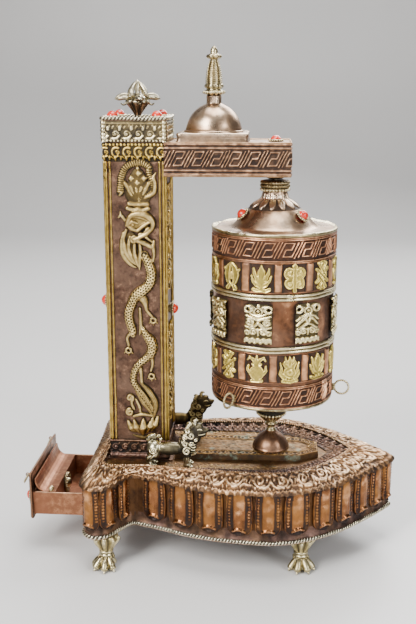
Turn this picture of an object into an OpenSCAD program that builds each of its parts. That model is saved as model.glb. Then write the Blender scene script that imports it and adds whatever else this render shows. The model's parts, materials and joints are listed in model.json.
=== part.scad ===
// Table-top prayer wheel: a drum on a fixed spindle, hung between a box arm
// on a square column and a raised lotus base with a drawer. Units: mm.
// Frame: +X from the column towards the drum, +Z up, -Y is the front.

/* [Base] */
// Height of the claw feet
foot_h = 24.5; // [22:0.5:28]
// Height of the petal wall
wall_h = 36; // [34:0.5:38]
// Thickness of the sheet copper wall
sheet_t = 1.2; // [0.8:0.1:1.5]
// Width of the rope moulding round the bottom edge
rope_d = 2.6; // [2:0.1:3]
// Number of lotus petals on each half of the wall
petals_side = 14; // [12:1:18]

/* [Column] */
// Width and depth of the square column
col_w = 38.6; // [37:0.2:40]
// Height of the column shaft above the plinth
col_h = 231.8; // [226:0.1:236]
// Height of the scrolled band at the foot of the column
col_band_h = 13.3; // [11:0.1:15]

/* [Arm] */
// Length of the arm beyond the spindle axis
arm_over = 9.5; // [8:0.5:14]
// Height of the arm
arm_h = 20.7; // [18:0.1:21]
// Depth of the arm
arm_d = 41; // [38:1:42]

/* [Drum] */
// Radius of the drum barrel
drum_r = 41.2; // [38:0.1:41.5]
// Height of the drum between its lips
drum_h = 117; // [112:0.5:117]
// Radius of the fixed spindle
spin_r = 2; // [1.8:0.1:2.2]
// Radial running clearance of the bushes
run_c = 0.05; // [0.03:0.01:0.1]
// Number of relief plaques in each narrow row
glyphs = 12; // [10:1:12]
// Number of emblem plaques in the middle row
emblems = 8; // [6:1:8]

/* [Drawer] */
// Outside width of the drawer tray
tray_w = 70; // [60:1:72]
// Length of the drawer tray
tray_l = 94; // [80:1:94]
// How far the drawer stands open at rest
drawer_out = 42; // [0:1:50]

/* [Hidden] */
$fn = 48;
eps = 0.01;

// ---- levels
z0 = foot_h;                 // bottom edge of the base
z1 = z0 + wall_h;            // outer edge of the rim
zc = z1 + 7;                 // crest of the rim
zd = z1 + 3;                 // top of the deck
zp = z1 + 7.2;               // top of the bearing platform
zpl = zd + 0.9;              // top of the column plinth
zct = zpl + col_h;           // top of the column shell
za1 = zct - 14;              // top of the arm
za0 = za1 - arm_h;           // underside of the arm
zt = za0 - 35.8;             // top of the drum
zb = zt - drum_h;            // bottom of the drum
cx = -91.5;                  // column axis
// places the bounding box centre on the Z axis
sx = 41.68;

// ---- outline of the base: outer edge, crest and gallery foot, half each
PO = [[-126.5,0],[-126.5,-28],[-127.5,-50],[-126.5,-61],[-120,-68],[-111,-68.5],[-103.5,-62],[-98,-52.5],
 [-93.5,-46.3],[-87,-47.5],[-73,-52.8],[-54,-60.8],[-31,-66.3],[-5,-69],[12,-67],[28,-60.5],[40,-53],
 [53,-42.5],[69.5,-25],[83,-9],[88,0]];
PC = [[-115,0],[-115,-20],[-115,-33],[-114,-37],[-112.5,-39.5],[-109,-41],[-103,-41],[-97,-40.8],
 [-91,-40.4],[-85,-40.3],[-71,-41.8],[-52,-44.5],[-30,-47],[-6,-48.6],[8,-47.4],[20,-42.5],[29,-36],
 [37,-28.5],[47,-16.5],[54,-5.5],[56.5,0]];
PG = [[-114,0],[-114,-19],[-114,-31.5],[-113,-35],[-111.5,-37],[-108.5,-38.3],[-103,-38],[-97,-37.6],
 [-91,-37],[-85,-36.5],[-70,-36],[-50,-35.5],[-29,-35.5],[-6,-35],[5,-33.5],[14,-30],[21,-25],
 [27.5,-19.5],[34.5,-10.5],[39,-3],[40,0]];

function closed(h) = concat(h, [for (i = [len(h)-2:-1:1]) [h[i][0], -h[i][1]]]);
function cr(a, b, c, d, t) = 0.5*((2*b) + (c-a)*t + (2*a-5*b+4*c-d)*t*t + (3*b-a-3*c+d)*t*t*t);
function spl(P, n) = [for (i = [0:len(P)-1], j = [0:n-1])
  cr(P[(i-1+len(P))%len(P)], P[i], P[(i+1)%len(P)], P[(i+2)%len(P)], j/n)];
function nrm(P, i) = let(a = P[(i-1+len(P))%len(P)], b = P[(i+1)%len(P)], t = (b-a)/max(norm(b-a), 1e-9)) [t[1], -t[0]];
function inset(P, d) = [for (i = [0:len(P)-1]) P[i] - d*nrm(P, i)];
function mixp(A, B, t) = [for (i = [0:len(A)-1]) A[i]*(1-t) + B[i]*t];
function up(P, z) = [for (p = P) [p[0], p[1], z]];
NS = 4;
OUT = spl(closed(PO), NS);
CRE = spl(closed(PC), NS);
GAL = spl(closed(PG), NS);
WALL = inset(OUT, 4);
WIN = inset(WALL, sheet_t);

// closed tube swept round the outline: a list of cross-section rings
module ring_loft(S) {
  n = len(S[0]); m = len(S);
  polyhedron(points = [for (s = S) each s],
    faces = [for (k = [0:m-1], i = [0:n-1]) each
      [[k*n+i, k*n+(i+1)%n, ((k+1)%m)*n+(i+1)%n], [k*n+i, ((k+1)%m)*n+(i+1)%n, ((k+1)%m)*n+i]]],
    convexity = 8);
}
// constant-width ribbon polygon along a centre line
function ribbon(C, w) = let(n = len(C),
  N = [for (i = [0:n-1]) let(a = C[max(i-1,0)], b = C[min(i+1,n-1)], t = (b-a)/norm(b-a)) [t[1], -t[0]]])
  concat([for (i = [0:n-1]) C[i] + N[i]*w[i]/2], [for (i = [n-1:-1:0]) C[i] - N[i]*w[i]/2]);
function openspl(P, n) = concat([for (i = [0:len(P)-2], j = [0:n-1])
  cr(P[max(i-1,0)], P[i], P[i+1], P[min(i+2,len(P)-1)], j/n)], [P[len(P)-1]]);

module box(a, b) translate(a) cube(b - a);
module cyl(r, za, zb) translate([0,0,za]) cylinder(r = r, h = zb - za);
module tube(r0, r1, za, zb) difference() { cyl(r1, za, zb); translate([0,0,za-1]) cylinder(r = r0, h = zb-za+2); }
module frame_ring(cxx, wi, wo, za, zb) translate([cxx,0,0]) difference() {
  box([-wo/2,-wo/2,za], [wo/2,wo/2,zb]); box([-wi/2,-wi/2,za-1], [wi/2,wi/2,zb+1]); }
module P() translate([sx,0,0]) children();

// ---------------------------------------------------------------- base
module base_wall() P() color([0.55,0.31,0.22]) difference() {
  translate([0,0,z0]) linear_extrude(wall_h) difference() { polygon(WALL); polygon(WIN); }
  box([-135,-tray_w/2-1.5,z0-1], [-115,tray_w/2+1.5,z1-4.2]);
}
// one petal: a rounded boss, thick in the middle, on the outside of the wall
module petal(w, h) translate([0,0,0]) rotate([90,0,0]) linear_extrude(2.6)
  polygon([[-w/2,h],[-w/2,5],[-w/2+1.6,2],[-w/5,0],[w/5,0],[w/2-1.6,2],[w/2,5],[w/2,h]]);
function plen(P, i) = norm(P[(i+1)%len(P)] - P[i]);
function cum(P, n) = [for (i = 0, s = 0; i <= n; s = s + plen(P, i), i = i + 1) s];
HN = (len(PO)-1)*NS;
CUM = cum(WALL, HN);
function seg_at(s, i = 0) = i >= HN-1 || CUM[i+1] >= s ? i : seg_at(s, i+1);
function at(s) = let(i = seg_at(s), t = (s - CUM[i])/max(CUM[i+1]-CUM[i], 1e-9)) WALL[i]*(1-t) + WALL[i+1]*t;
S0 = 40; S1 = CUM[HN] - 4;
pitch = (S1 - S0)/petals_side;
module half_petals() for (k = [0:petals_side-1]) {
  s = S0 + pitch*(k + 0.5); p = at(s); a = at(s-4); b = at(s+4); t = (b-a)/norm(b-a);
  gap = abs(p[0] + 92.5) < 4.5;
  if (!gap) translate([p[0] + t[1]*0.75, p[1] - t[0]*0.75, z0 + 4.2]) rotate([0,0,atan2(t[1], t[0])]) petal(pitch*0.78, wall_h - 5.8);
}
module lotus_petals() P() color([0.72,0.42,0.24]) difference() {
  union() { half_petals(); mirror([0,1,0]) half_petals(); }
  translate([0,0,z0-1]) linear_extrude(wall_h+2) polygon(inset(WALL, -0.04));
}
module base_rim() P() color([0.66,0.45,0.36]) ring_loft([
  up(OUT, z1-0.3), up(mixp(OUT,CRE,0.5), z1+3.4), up(mixp(OUT,CRE,0.97), zc-1.6), up(CRE, zc-1.5), up(CRE, zc),
  up(mixp(OUT,CRE,0.8), zc-0.1), up(mixp(OUT,CRE,0.5), z1+5.4), up(mixp(OUT,CRE,0.2), z1+3), up(OUT, z1+1)]);
module pierced_gallery() P() color([0.60,0.42,0.37]) {
  c = mixp(CRE, GAL, 0.04);
  ring_loft([up(c, zc-2.9), up(GAL, zd+0.05), up(GAL, zd+0.9), up(c, zc-1.7)]);
}
module deck_plate() P() color([0.45,0.36,0.27]) difference() {
  translate([0,0,zd-1.2]) linear_extrude(1.2) polygon(mixp(CRE, GAL, 0.3));
  cyl(spin_r+run_c, zd-3, zd+3);
}
module bearing_platform() P() color([0.52,0.40,0.24]) difference() {
  translate([0,0,zd+0.02]) linear_extrude(zp-zd-0.02) polygon([[-67,-19],[20,-17],[33.5,-8.4],[33.5,8.4],[20,17],[-67,19]]);
  cyl(spin_r+run_c, zd-3, zp+3);
  translate([0,0,zd-1]) linear_extrude(zp-zd-0.4) polygon([[-65.6,-17.6],[19.6,-15.6],[32.1,-7.6],[32.1,7.6],[19.6,15.6],[-65.6,17.6]]);
}
module base_bottom_sheet() P() color([0.50,0.30,0.22]) difference() {
  translate([0,0,z0+0.05]) linear_extrude(0.9) polygon(inset(WIN, 0.1));
  box([-140,-tray_w/2-1.4,z0-1], [-121,tray_w/2+1.4,z0+3]);
}
module bottom_rope_moulding() P() color([0.78,0.70,0.58]) difference() {
  ring_loft([for (k = [0:7]) let(a = -k*45) up(inset(WALL, -rope_d/2 - 0.02 - rope_d/2*cos(a)), z0 + rope_d/2 + rope_d/2*sin(a))]);
  box([-140,-tray_w/2-3.6,z0-4], [-110,tray_w/2+3.6,z0+9]);
}
module drawer_runners() P() color([0.45,0.28,0.2]) for (s = [-1,1]) 
  box([-119, s*(tray_w/2+1.6) - 0.6, z0+1], [-46, s*(tray_w/2+1.6) + 0.6, z0+9]);

// claw foot: fluted cup, ankle and paw
module foot() color([0.80,0.72,0.50]) {
  rotate_extrude() polygon([[0,foot_h],[9.4,foot_h],[9.6,foot_h-1.4],[8.3,foot_h-3.6],[6.6,foot_h-6.4],[4.6,foot_h-8.6],
    [3.9,foot_h-10.4],[4.5,foot_h-12],[0,foot_h-12]]);
  cylinder(r1 = 8.2, r2 = 4.4, h = foot_h-12.005);
}
feet = [[-110,-58],[21.5,-50.5],[-110,58],[21.5,50.5]];
module front_left_foot() P() translate(feet[0]) foot();
module front_right_foot() P() translate(feet[1]) foot();
module rear_left_foot() P() translate(feet[2]) foot();
module rear_right_foot() P() translate(feet[3]) foot();
module foot_rivets() P() color([0.5,0.4,0.3]) for (f = feet) translate([f[0],f[1],z0+0.96])
  rotate_extrude() polygon([[0,0],[2.4,0],[2.1,1],[1.2,1.7],[0,1.9]]);

// -------------------------------------------------------------- column
module column_plinth() P() color([0.55,0.42,0.36]) box([cx-22.3,-23.2,zd+0.02], [cx+23.5,23.2,zpl]);
module column_shell() P() color([0.46,0.33,0.28]) translate([cx,0,0]) difference() {
  box([-col_w/2,-col_w/2,zpl+0.02], [col_w/2,col_w/2,zct]);
  box([-col_w/2+1,-col_w/2+1,zpl-1], [col_w/2-1,col_w/2-1,zct+1]);
}
module column_foot_band() color([0.42,0.34,0.28]) P() frame_ring(cx, col_w+0.04, col_w+3, zpl+0.03, zpl+col_band_h);
module column_collar_band() P() color([0.75,0.65,0.38]) difference() {
  frame_ring(cx, col_w+0.04, col_w+2.4, za1-12.2, za1+0.1);
  box([cx+col_w/2-2,-arm_d/2-0.1,za0-1], [cx+col_w/2+5,arm_d/2+0.1,za1+2]);
}
module column_cap_band() P() color([0.72,0.63,0.42]) frame_ring(cx, col_w+0.04, col_w+3.6, za1+0.6, zct-0.1);
module column_top_plate() P() color([0.6,0.5,0.4]) box([cx-col_w/2-1.8,-col_w/2-1.8,zct+0.02], [cx+col_w/2+1.8,col_w/2+1.8,zct+1.2]);
module column_rope_edge() P() color([0.78,0.72,0.62]) translate([cx,0,zct+2.1]) {
  L = col_w/2 + 1.5;
  for (k = [0:3]) rotate([0,0,90*k]) translate([L,-L,0]) rotate([-90,0,0]) cylinder(r = 0.88, h = 2*L, $fn = 24);
  for (k = [0:3]) rotate([0,0,90*k]) translate([L,L,0]) sphere(r = 0.88, $fn = 24);
}
// pairs of wire strips along both edges of each face
module column_edge_wires() P() color([0.80,0.66,0.32]) translate([cx,0,0]) for (k = [0:3]) rotate([0,0,90*k]) for (s = [-1,1])
  box([s*17.3-1.5,-col_w/2-0.9,zpl+col_band_h+0.1], [s*17.3+1.5,-col_w/2-0.02,za1-12.3-((k==1) ? 9 : 0)]);
// winding dragon: body ribbon, head, tail lotus and flaming jewel, drawn on the XZ plane
DB = [[1,152],[6,141],[8.4,132.5],[9.2,120.5],[5.6,113.4],[1,109.2],[-2.3,105.2],[-4.4,97],[-3.4,87],[3,83.5],[8,76],[8,67.6],[1.2,60.6],[-3.3,54.5],[-2.3,46.4],[2,39.3],[8.5,31]];
DW = [11,9.5,8,8,8.5,9,8.5,8,7.5,7.5,7.5,7.5,7,6,6,8,6];
module dragon() rotate([90,0,0]) {
  c = openspl(DB, 4);
  w = [for (i = [0:len(c)-1]) let(f = i/4, k = min(floor(f), len(DW)-2)) DW[k]*(1-(f-k)) + DW[k+1]*(f-k)];
  linear_extrude(2.8) polygon(ribbon(c, w));
  translate([2.5,157,0]) linear_extrude(3) polygon([[-8,-3],[-3,-8],[6,-7],[8,-1],[10,4],[6,9],[0,11],[-6,8],[-9,2]]);
  translate([2.2,167.2,0]) linear_extrude(2.4) polygon([[-4.5,0],[5.5,0],[5.5,6],[11.5,14],[10,25],[0,30],[-8,26],[-11.5,15],[-5.5,6]]);
  translate([2.5,15,0]) linear_extrude(2.6) polygon([[-4,0],[4,0],[10,7],[8,13],[-8,13],[-10,7]]);
}
zdr = zpl + col_band_h - 6;
module front_dragon_relief() P() color([0.83,0.74,0.45]) translate([cx,-col_w/2-0.02,zdr]) dragon();
module rear_dragon_relief() P() color([0.83,0.74,0.45]) translate([cx,col_w/2+0.02,zdr]) rotate([0,0,180]) dragon();
module column_side_reliefs() P() color([0.74,0.60,0.30]) for (s = [-1,1]) translate([cx+s*(col_w/2+0.02),0,0]) rotate([0,0,s*90]) 
  for (z = [zpl+col_band_h+10, zpl+118]) box([-10,-2,z], [10,0,z+ (z > 150 ? (s > 0 ? 72 : 78) : 70)]);
module gem(r, h) rotate_extrude($fn = 32) polygon([for (a = [0:15:90]) [r*cos(a), h*sin(a)], [0,0]]);
zsc = [zpl+110, zpl+105];
module frame_corals() P() color([0.85,0.22,0.14]) {
  translate([cx,0,0]) {
    for (s = [-1,1], t = [-1,1]) translate([s*14.2,t*14.2,zct+2.25]) gem(3.8,3);
    for (s = [0,1]) translate([(2*s-1)*(col_w/2+1.5),0,zsc[s]]) rotate([0,(2*s-1)*90,0]) gem(4.1,3.2);
  }
  translate([0,0,za1+1.22]) gem(3.8,3);
}
module coral_bezels() P() color([0.75,0.68,0.55]) {
  translate([cx,0,0]) {
    for (s = [-1,1], t = [-1,1]) translate([s*14.2,t*14.2,0]) cyl(4.6, zct+1.22, zct+2.23);
    for (s = [0,1]) translate([(2*s-1)*(col_w/2+0.04),0,zsc[s]]) rotate([0,(2*s-1)*90,0]) cylinder(r = 4.8, h = 1.4);
  }
  cyl(5, za1+0.02, za1+1.2);
}
module vajra_finial() P() color([0.72,0.68,0.58]) translate([cx,0,zct+1.22]) {
  rotate_extrude() polygon([[0,0],[3.6,0],[4.2,2.2],[8.8,8.6],[9,9.9],[0,9.9]]);
  rotate_extrude() polygon([[0,9.9],[8.6,9.9],[8,14],[4.6,19],[1.6,23.6],[0,24]]);
  for (k = [0:3]) rotate([0,0,45+90*k]) translate([6,0,12.4]) rotate([0,90,0]) cylinder(r1 = 2.4, r2 = 0.9, h = 9);
}

// ----------------------------------------------------------------- arm
ax0 = cx + col_w/2 + 0.02; 
module arm_channel() P() color([0.55,0.36,0.28]) difference() {
  box([ax0,-arm_d/2,za0+1.22], [arm_over,arm_d/2,za1]);
  box([ax0-1,-arm_d/2+1,za0-1], [arm_over-1,arm_d/2-1,za1-1]);
}
module arm_soffit() P() color([0.50,0.33,0.26]) difference() {
  box([ax0,-arm_d/2,za0], [arm_over,arm_d/2,za0+1.2]);
  cyl(spin_r+run_c, za0-2, za0+4);
}
module arm_meander_bands() P() color([0.62,0.41,0.31]) {
  for (s = [-1,1]) box([ax0+0.6, s*(arm_d/2+0.62)-0.6, za0+0.4], [arm_over+0.02, s*(arm_d/2+0.62)+0.6, za1-0.4]);
  box([arm_over+0.04,-arm_d/2-1.2,za0+0.4], [arm_over+1.2,arm_d/2+1.2,za1-0.4]);
}
module spindle_top_boss() P() color([0.45,0.36,0.28]) difference() {
  rotate_extrude() polygon([[0,za0-0.02],[7.5,za0-0.02],[7.5,za0-1.4],[5,za0-3.4],[0,za0-3.4]]);
  cyl(spin_r+run_c, za0-5, za0+2);
}
module hexnut(z, h) difference() { translate([0,0,z]) cylinder(r = 4.4, h = h, $fn = 6); cyl(spin_r+run_c, z-1, z+h+1); }
module spindle_nuts() P() color([0.35,0.33,0.31]) { hexnut(za0+1.25, 3); hexnut(zd-4.3, 3); }
scx = -41;
module stupa_base() P() color([0.66,0.46,0.37]) {
  box([scx-23,-20,za1+0.02], [scx+23,20,za1+6.2]);
  translate([scx,0,za1+6.2]) cylinder(r = 19.5, h = 1.2);
}
module stupa_dome() P() color([0.74,0.56,0.47]) translate([scx,0,za1+7.42])
  rotate_extrude() polygon([[0,0],[18.4,0],[18.4,0.8],[17.8,1.2],[17.4,3.6],[16.2,7.2],[14,10.6],[11,13.4],[8,15.4],[4.6,16.7],[4.6,22],[0,22]]);
module stupa_spire() P() color([0.80,0.75,0.58]) translate([scx,0,za1+29.44])
  rotate_extrude() polygon([[0,0],[5.4,0],[7.2,1],[7.4,2.4],[6.6,3.6],[5.2,4.2],[5.6,5.6],[6,8],[5.6,12],[4.4,16.5],[3.2,20],[3.6,20.6],[5.1,21.6],
    [5,23.4],[3,24.4],[2.6,26],[2.2,27.4],[1.5,29],[0.4,31.2],[0,31.4]]);

// -------------------------------------------------------------- spindle
module spindle_rod() P() color([0.32,0.30,0.29]) cyl(spin_r, zd-5, za0+6.2);
module bearing_dome() P() color([0.58,0.36,0.29]) difference() {
  rotate_extrude() polygon([[0,zp+0.02],[13,zp+0.02],[13,zp+0.9],[11.6,zp+1.4],[10.8,zp+4],[9,zp+6.8],[6.2,zp+9.2],[3.6,zp+10.2],[3.2,zp+12.2],[0,zp+12.2]]);
  cyl(spin_r+run_c, zp-1, zp+16);
}
module spindle_cup() P() color([0.62,0.55,0.38]) difference() {
  rotate_extrude() polygon([[0,zp+12.22],[3.4,zp+12.22],[3,zp+14.4],[5,zp+17],[8.2,zp+22],[9.9,zp+26],[10.2,zp+28.6],[0,zp+28.6]]);
  cyl(spin_r+run_c, zp+10, zp+33);
  translate([0,0,zp+27.2]) cylinder(r = 9, h = 3);
}
module thrust_bead() P() color([0.85,0.83,0.76]) difference() {
  rotate_extrude() polygon([[0,zp+27.22],[5,zp+27.22],[6.2,zp+30],[6.2,zp+34],[5,zb-2.4],[0,zb-2.4]]);
  cyl(spin_r+run_c, zp+20, zb+3);
}

// ---------------------------------------------------------------- lions
// standing body in profile, rounded trunk and head, four legs
module lion() color([0.72,0.68,0.56]) {
  for (t = [-1,1]) for (x = [-4.3,-28]) translate([x,t*3.1,0]) cylinder(r = 2.5, h = 10.4, $fn = 24);
  translate([0,5.4,0]) rotate([90,0,0]) linear_extrude(10.8) polygon([[-31,10.42],[1,10.42],[5,14],[6,19],[9.5,21.5],[10.5,25.5],[8,29.5],[4,32.5],
    [-1,33],[-5,30],[-7,24],[-10,20.5],[-20,19],[-26,21],[-28,27],[-32,30.5],[-35,29],[-34,22],[-33,16]]);
}
lionx = -54.5; liony = 29.3;
module front_lion() P() translate([lionx,-liony,zd+0.03]) lion();
module rear_lion() P() translate([lionx,liony,zd+0.03]) lion();

// ----------------------------------------------------------------- drum
module drum_barrel() P() color([0.62,0.38,0.29]) tube(drum_r-1, drum_r, zb+1.3, zt-1.3);
module drum_top_cover() P() color([0.66,0.47,0.38]) rotate_extrude() polygon([[4.3,zt+24],[8.2,zt+24],[8.2,zt+19],[8.8,zt+17.8],[11.4,zt+16],
  [17.6,zt+12.6],[21.6,zt+9],[25.4,zt+4.4],[28.6,zt+0.9],[40.1,zt+0.7],[40.1,zt-0.5],[28.2,zt-0.4],[24.4,zt+3],[20.6,zt+7.8],[16.8,zt+11.2],[10.8,zt+14.6],[7.2,zt+16.8],[7,zt+18.6],[4.3,zt+18.6]]);
module drum_bottom_cover() P() color([0.52,0.36,0.26]) rotate_extrude() polygon([[5.1,zb-1],[10.5,zb-1],[12.5,zb+0.2],[40.1,zb+0.2],[40.1,zb+1.25],[5.1,zb+1.25]]);
module drum_lip_rings() P() color([0.70,0.58,0.44]) { tube(40.12, drum_r+1.4, zt-1.28, zt+1.1); tube(40.12, drum_r+1, zb-0.6, zb+1.28); }
zh1 = zt - 40; zh2 = zt - 75.1;
module drum_hoops() P() color([0.72,0.64,0.50]) for (z = [zh1, zh2]) tube(drum_r+0.03, drum_r+1.8, z-2.3, z+2.3);
module drum_meander_bands() P() color([0.60,0.36,0.27]) { tube(drum_r+0.03, drum_r+1, zt-16.2, zt-1.4); tube(drum_r+0.03, drum_r+0.9, zb+1.4, zb+16.4); }
module sector(r0, r1, za, zb, w) rotate([0,0,-90-w/2]) rotate_extrude(angle = w, $fn = 96) translate([r0, za]) square([r1-r0, zb-za]);
module drum_relief_plaques() P() color([0.80,0.70,0.35]) {
  for (k = [0:glyphs-1]) rotate([0,0,-11 + 360/glyphs*k]) sector(drum_r+0.03, drum_r+1.5, zt-36.6, zt-17.4, 18);
  for (k = [0:glyphs-1]) rotate([0,0,-14 + 360/glyphs*k]) sector(drum_r+0.03, drum_r+1.5, zb+19.6, zb+38.8, 18);
}
module drum_emblem_plaques() P() color([0.78,0.70,0.45]) for (k = [0:emblems-1]) rotate([0,0,-13 + 360/emblems*k])
  sector(drum_r+0.03, drum_r+4, zt-71.4, zt-43.8, 27);
module drum_bushes() P() color([0.66,0.56,0.34]) {
  tube(spin_r+run_c, 4.25, zt+12, zt+31.6);
  tube(spin_r+run_c, 5.05, zb-2, zb+8);
}
module prayer_roll() P() color([0.80,0.72,0.52]) tube(5.2, 38, zb+8.2, zt-6);
module drum_collar() P() color([0.66,0.60,0.50]) rotate_extrude() polygon([[4.3,zt+24.02],[9.4,zt+24.02],[10,zt+25.4],[9.4,zt+27],[8.9,zt+28],[9.6,zt+29.4],[9,zt+31.4],[4.3,zt+31.4]]);
// corals stand on the slope of the cover
module on_dome(a) rotate([0,0,a-90]) translate([22.2,0,zt+9.1]) rotate([0,46,0]) translate([0,0,0.55]) children();
module drum_corals() P() for (a = [-67,53,173]) on_dome(a) { color([0.75,0.68,0.55]) cylinder(r = 4.4, h = 1.3, $fn = 32);
  color([0.85,0.22,0.14]) translate([0,0,1.32]) gem(3.4,3); }
module torus(R, r) rotate_extrude($fn = 48) translate([R,0]) circle(r = r, $fn = 16);
module drum_tassel_rings() P() color([0.75,0.70,0.55]) for (a = [-36,84,204]) rotate([0,0,a-90])
  translate([drum_r+1.7+5.7, 0, zb+6]) rotate([90,0,0]) torus(4.9, 0.65);

// --------------------------------------------------------------- drawer
// outside face of the closed drawer front touches the wall: shift at rest
xo = -122.5 - 0.5 - drawer_out;   // inner face of the drawer front at rest
zt0 = z0 + 1.3; zt1 = z0 + 17.5;    // tray floor underside and wall top
tw = tray_w/2 - 0.6;
zft = z1 - 3.4;                    // top of the drawer front
module drawer_tray() P() color([0.62,0.38,0.29]) difference() {
  box([xo+0.02,-tw,zt0], [xo+tray_l,tw,zt1]); box([xo+1,-tw+1,zt0+1], [xo+tray_l-1,tw-1,zt1+1]); }
// cover over the front pocket: upturned flange, cove and ledge, with its drop face
module drawer_cove() P() color([0.66,0.42,0.32]) {
  translate([0,tw-1.02,0]) rotate([90,0,0]) linear_extrude(2*tw-2.04) polygon(concat([[xo+1.1,zt1+9.5],[xo+2,zt1+9.5]],
    [for (a = [180:15:270]) [xo+10.2+8.2*cos(a), zt1+8.6+8.2*sin(a)]], [[xo+15.4,zt1+0.4],[xo+15.4,zt0+1.02],[xo+14.4,zt0+1.02],[xo+14.4,zt1-0.5]],
    [for (a = [270:-15:180]) [xo+10.2+9.1*cos(a), zt1+8.6+9.1*sin(a)]]));
  translate([xo+15.42,1,zt0+8.6]) rotate([0,90,0]) { cylinder(r = 7.4, h = 1.2); translate([0,0,1.22]) gem(3,2.8); }
}
module drawer_front() P() color([0.62,0.44,0.34]) {
  box([xo-1.3,-tw-2.6,z0-0.6], [xo,tw+2.6,zft]);
  for (s = [-1,1]) {
    translate([xo-1.32, s*(tw-3.5), z0+14.5]) rotate([0,-90,0]) { cylinder(r = 4.8, h = 2.2); translate([0,0,2.22]) gem(3.6,2.8); }
    translate([xo-1.32, s*(tw-0.5), zft-2]) rotate([0,-90,0]) difference() {
      intersection() { cylinder(r = 1.6, h = 3.4, $fn = 24); box([-3,-0.8,-1], [3,0.8,5]); }
      translate([0,0,2]) rotate([90,0,0]) translate([0,0,-3]) cylinder(r = 0.92, h = 6, $fn = 24);
    }
  }
}
// small pull rings hanging in the eyelets, leaning on the drawer front
ring_R = 3; ring_lean = 24;
module pull_ring(s) translate([xo-1.32-2, s*(tw-0.5), zft-2]) rotate([0,ring_lean,0]) translate([0,0,-ring_R]) rotate([0,90,0]) torus(ring_R, 0.6);
module front_pull_ring() P() color([0.75,0.70,0.55]) pull_ring(-1);
module rear_pull_ring() P() color([0.75,0.70,0.55]) pull_ring(1);

base_wall();
lotus_petals();
base_rim();
pierced_gallery();
deck_plate();
bearing_platform();
base_bottom_sheet();
bottom_rope_moulding();
drawer_runners();
front_left_foot();
front_right_foot();
rear_left_foot();
rear_right_foot();
foot_rivets();
column_plinth();
column_shell();
column_foot_band();
column_collar_band();
column_cap_band();
column_top_plate();
column_rope_edge();
column_edge_wires();
front_dragon_relief();
rear_dragon_relief();
column_side_reliefs();
frame_corals();
coral_bezels();
vajra_finial();
arm_channel();
arm_soffit();
arm_meander_bands();
spindle_top_boss();
spindle_nuts();
stupa_base();
stupa_dome();
stupa_spire();
spindle_rod();
bearing_dome();
spindle_cup();
thrust_bead();
front_lion();
rear_lion();
drum_barrel();
drum_top_cover();
drum_bottom_cover();
drum_lip_rings();
drum_hoops();
drum_meander_bands();
drum_relief_plaques();
drum_emblem_plaques();
drum_bushes();
prayer_roll();
drum_collar();
drum_corals();
drum_tassel_rings();
drawer_tray();
drawer_front();
drawer_cove();
front_pull_ring();
rear_pull_ring();
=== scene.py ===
import bpy, bmesh, math, json
import numpy as np
from mathutils import Vector, Matrix

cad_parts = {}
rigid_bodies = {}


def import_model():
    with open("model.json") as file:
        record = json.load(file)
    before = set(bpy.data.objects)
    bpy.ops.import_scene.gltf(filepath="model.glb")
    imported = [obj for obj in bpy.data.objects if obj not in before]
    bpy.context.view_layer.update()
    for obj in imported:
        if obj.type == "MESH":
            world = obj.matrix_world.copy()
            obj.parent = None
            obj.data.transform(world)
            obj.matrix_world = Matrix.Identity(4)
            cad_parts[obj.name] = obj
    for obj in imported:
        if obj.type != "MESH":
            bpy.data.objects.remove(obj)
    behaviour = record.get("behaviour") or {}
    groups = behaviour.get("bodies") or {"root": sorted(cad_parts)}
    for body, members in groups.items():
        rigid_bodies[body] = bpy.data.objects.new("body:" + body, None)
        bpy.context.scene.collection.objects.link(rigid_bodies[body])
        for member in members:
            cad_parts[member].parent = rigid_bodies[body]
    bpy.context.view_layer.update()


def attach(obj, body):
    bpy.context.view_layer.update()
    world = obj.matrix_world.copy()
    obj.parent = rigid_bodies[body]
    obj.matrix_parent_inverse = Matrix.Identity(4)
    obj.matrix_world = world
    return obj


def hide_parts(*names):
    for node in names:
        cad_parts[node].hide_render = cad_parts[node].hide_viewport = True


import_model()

# ------------------------------------------------------------------ frame
# All design numbers below are in millimetres with the drum's axis at x = y = 0.
SX = 41.68
Z0, Z1, ZC, ZD, ZP = 24.5, 60.5, 67.5, 63.5, 67.7
ZPL = ZD + 0.9
ZCT = ZPL + 231.8
ZA1 = ZCT - 14.0
ZA0 = ZA1 - 20.7
ZT = ZA0 - 35.8
ZB = ZT - 117.0
CX, HW = -91.5, 19.3
XO, TW, ZT0, ZT1, ZFT = -165.0, 34.4, 25.8, 42.0, 57.1
R = 41.2
pi = math.pi
scene = bpy.context.scene


def sm(x, a, b):
    t = np.clip((x - a) / (b - a), 0, 1)
    return t * t * (3 - 2 * t)


def hsh(i, j, seed):
    v = np.sin(i * 127.1 + j * 311.7 + seed * 74.7) * 43758.5453
    return v - np.floor(v)


def vnoise(x, y, seed=0.0):
    x = np.asarray(x, float); y = np.asarray(y, float)
    i = np.floor(x); j = np.floor(y); u = x - i; v = y - j
    u = u * u * (3 - 2 * u); v = v * v * (3 - 2 * v)
    a = hsh(i, j, seed); b = hsh(i + 1, j, seed); c = hsh(i, j + 1, seed); d = hsh(i + 1, j + 1, seed)
    return (a * (1 - u) + b * u) * (1 - v) + (c * (1 - u) + d * u) * v


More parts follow.
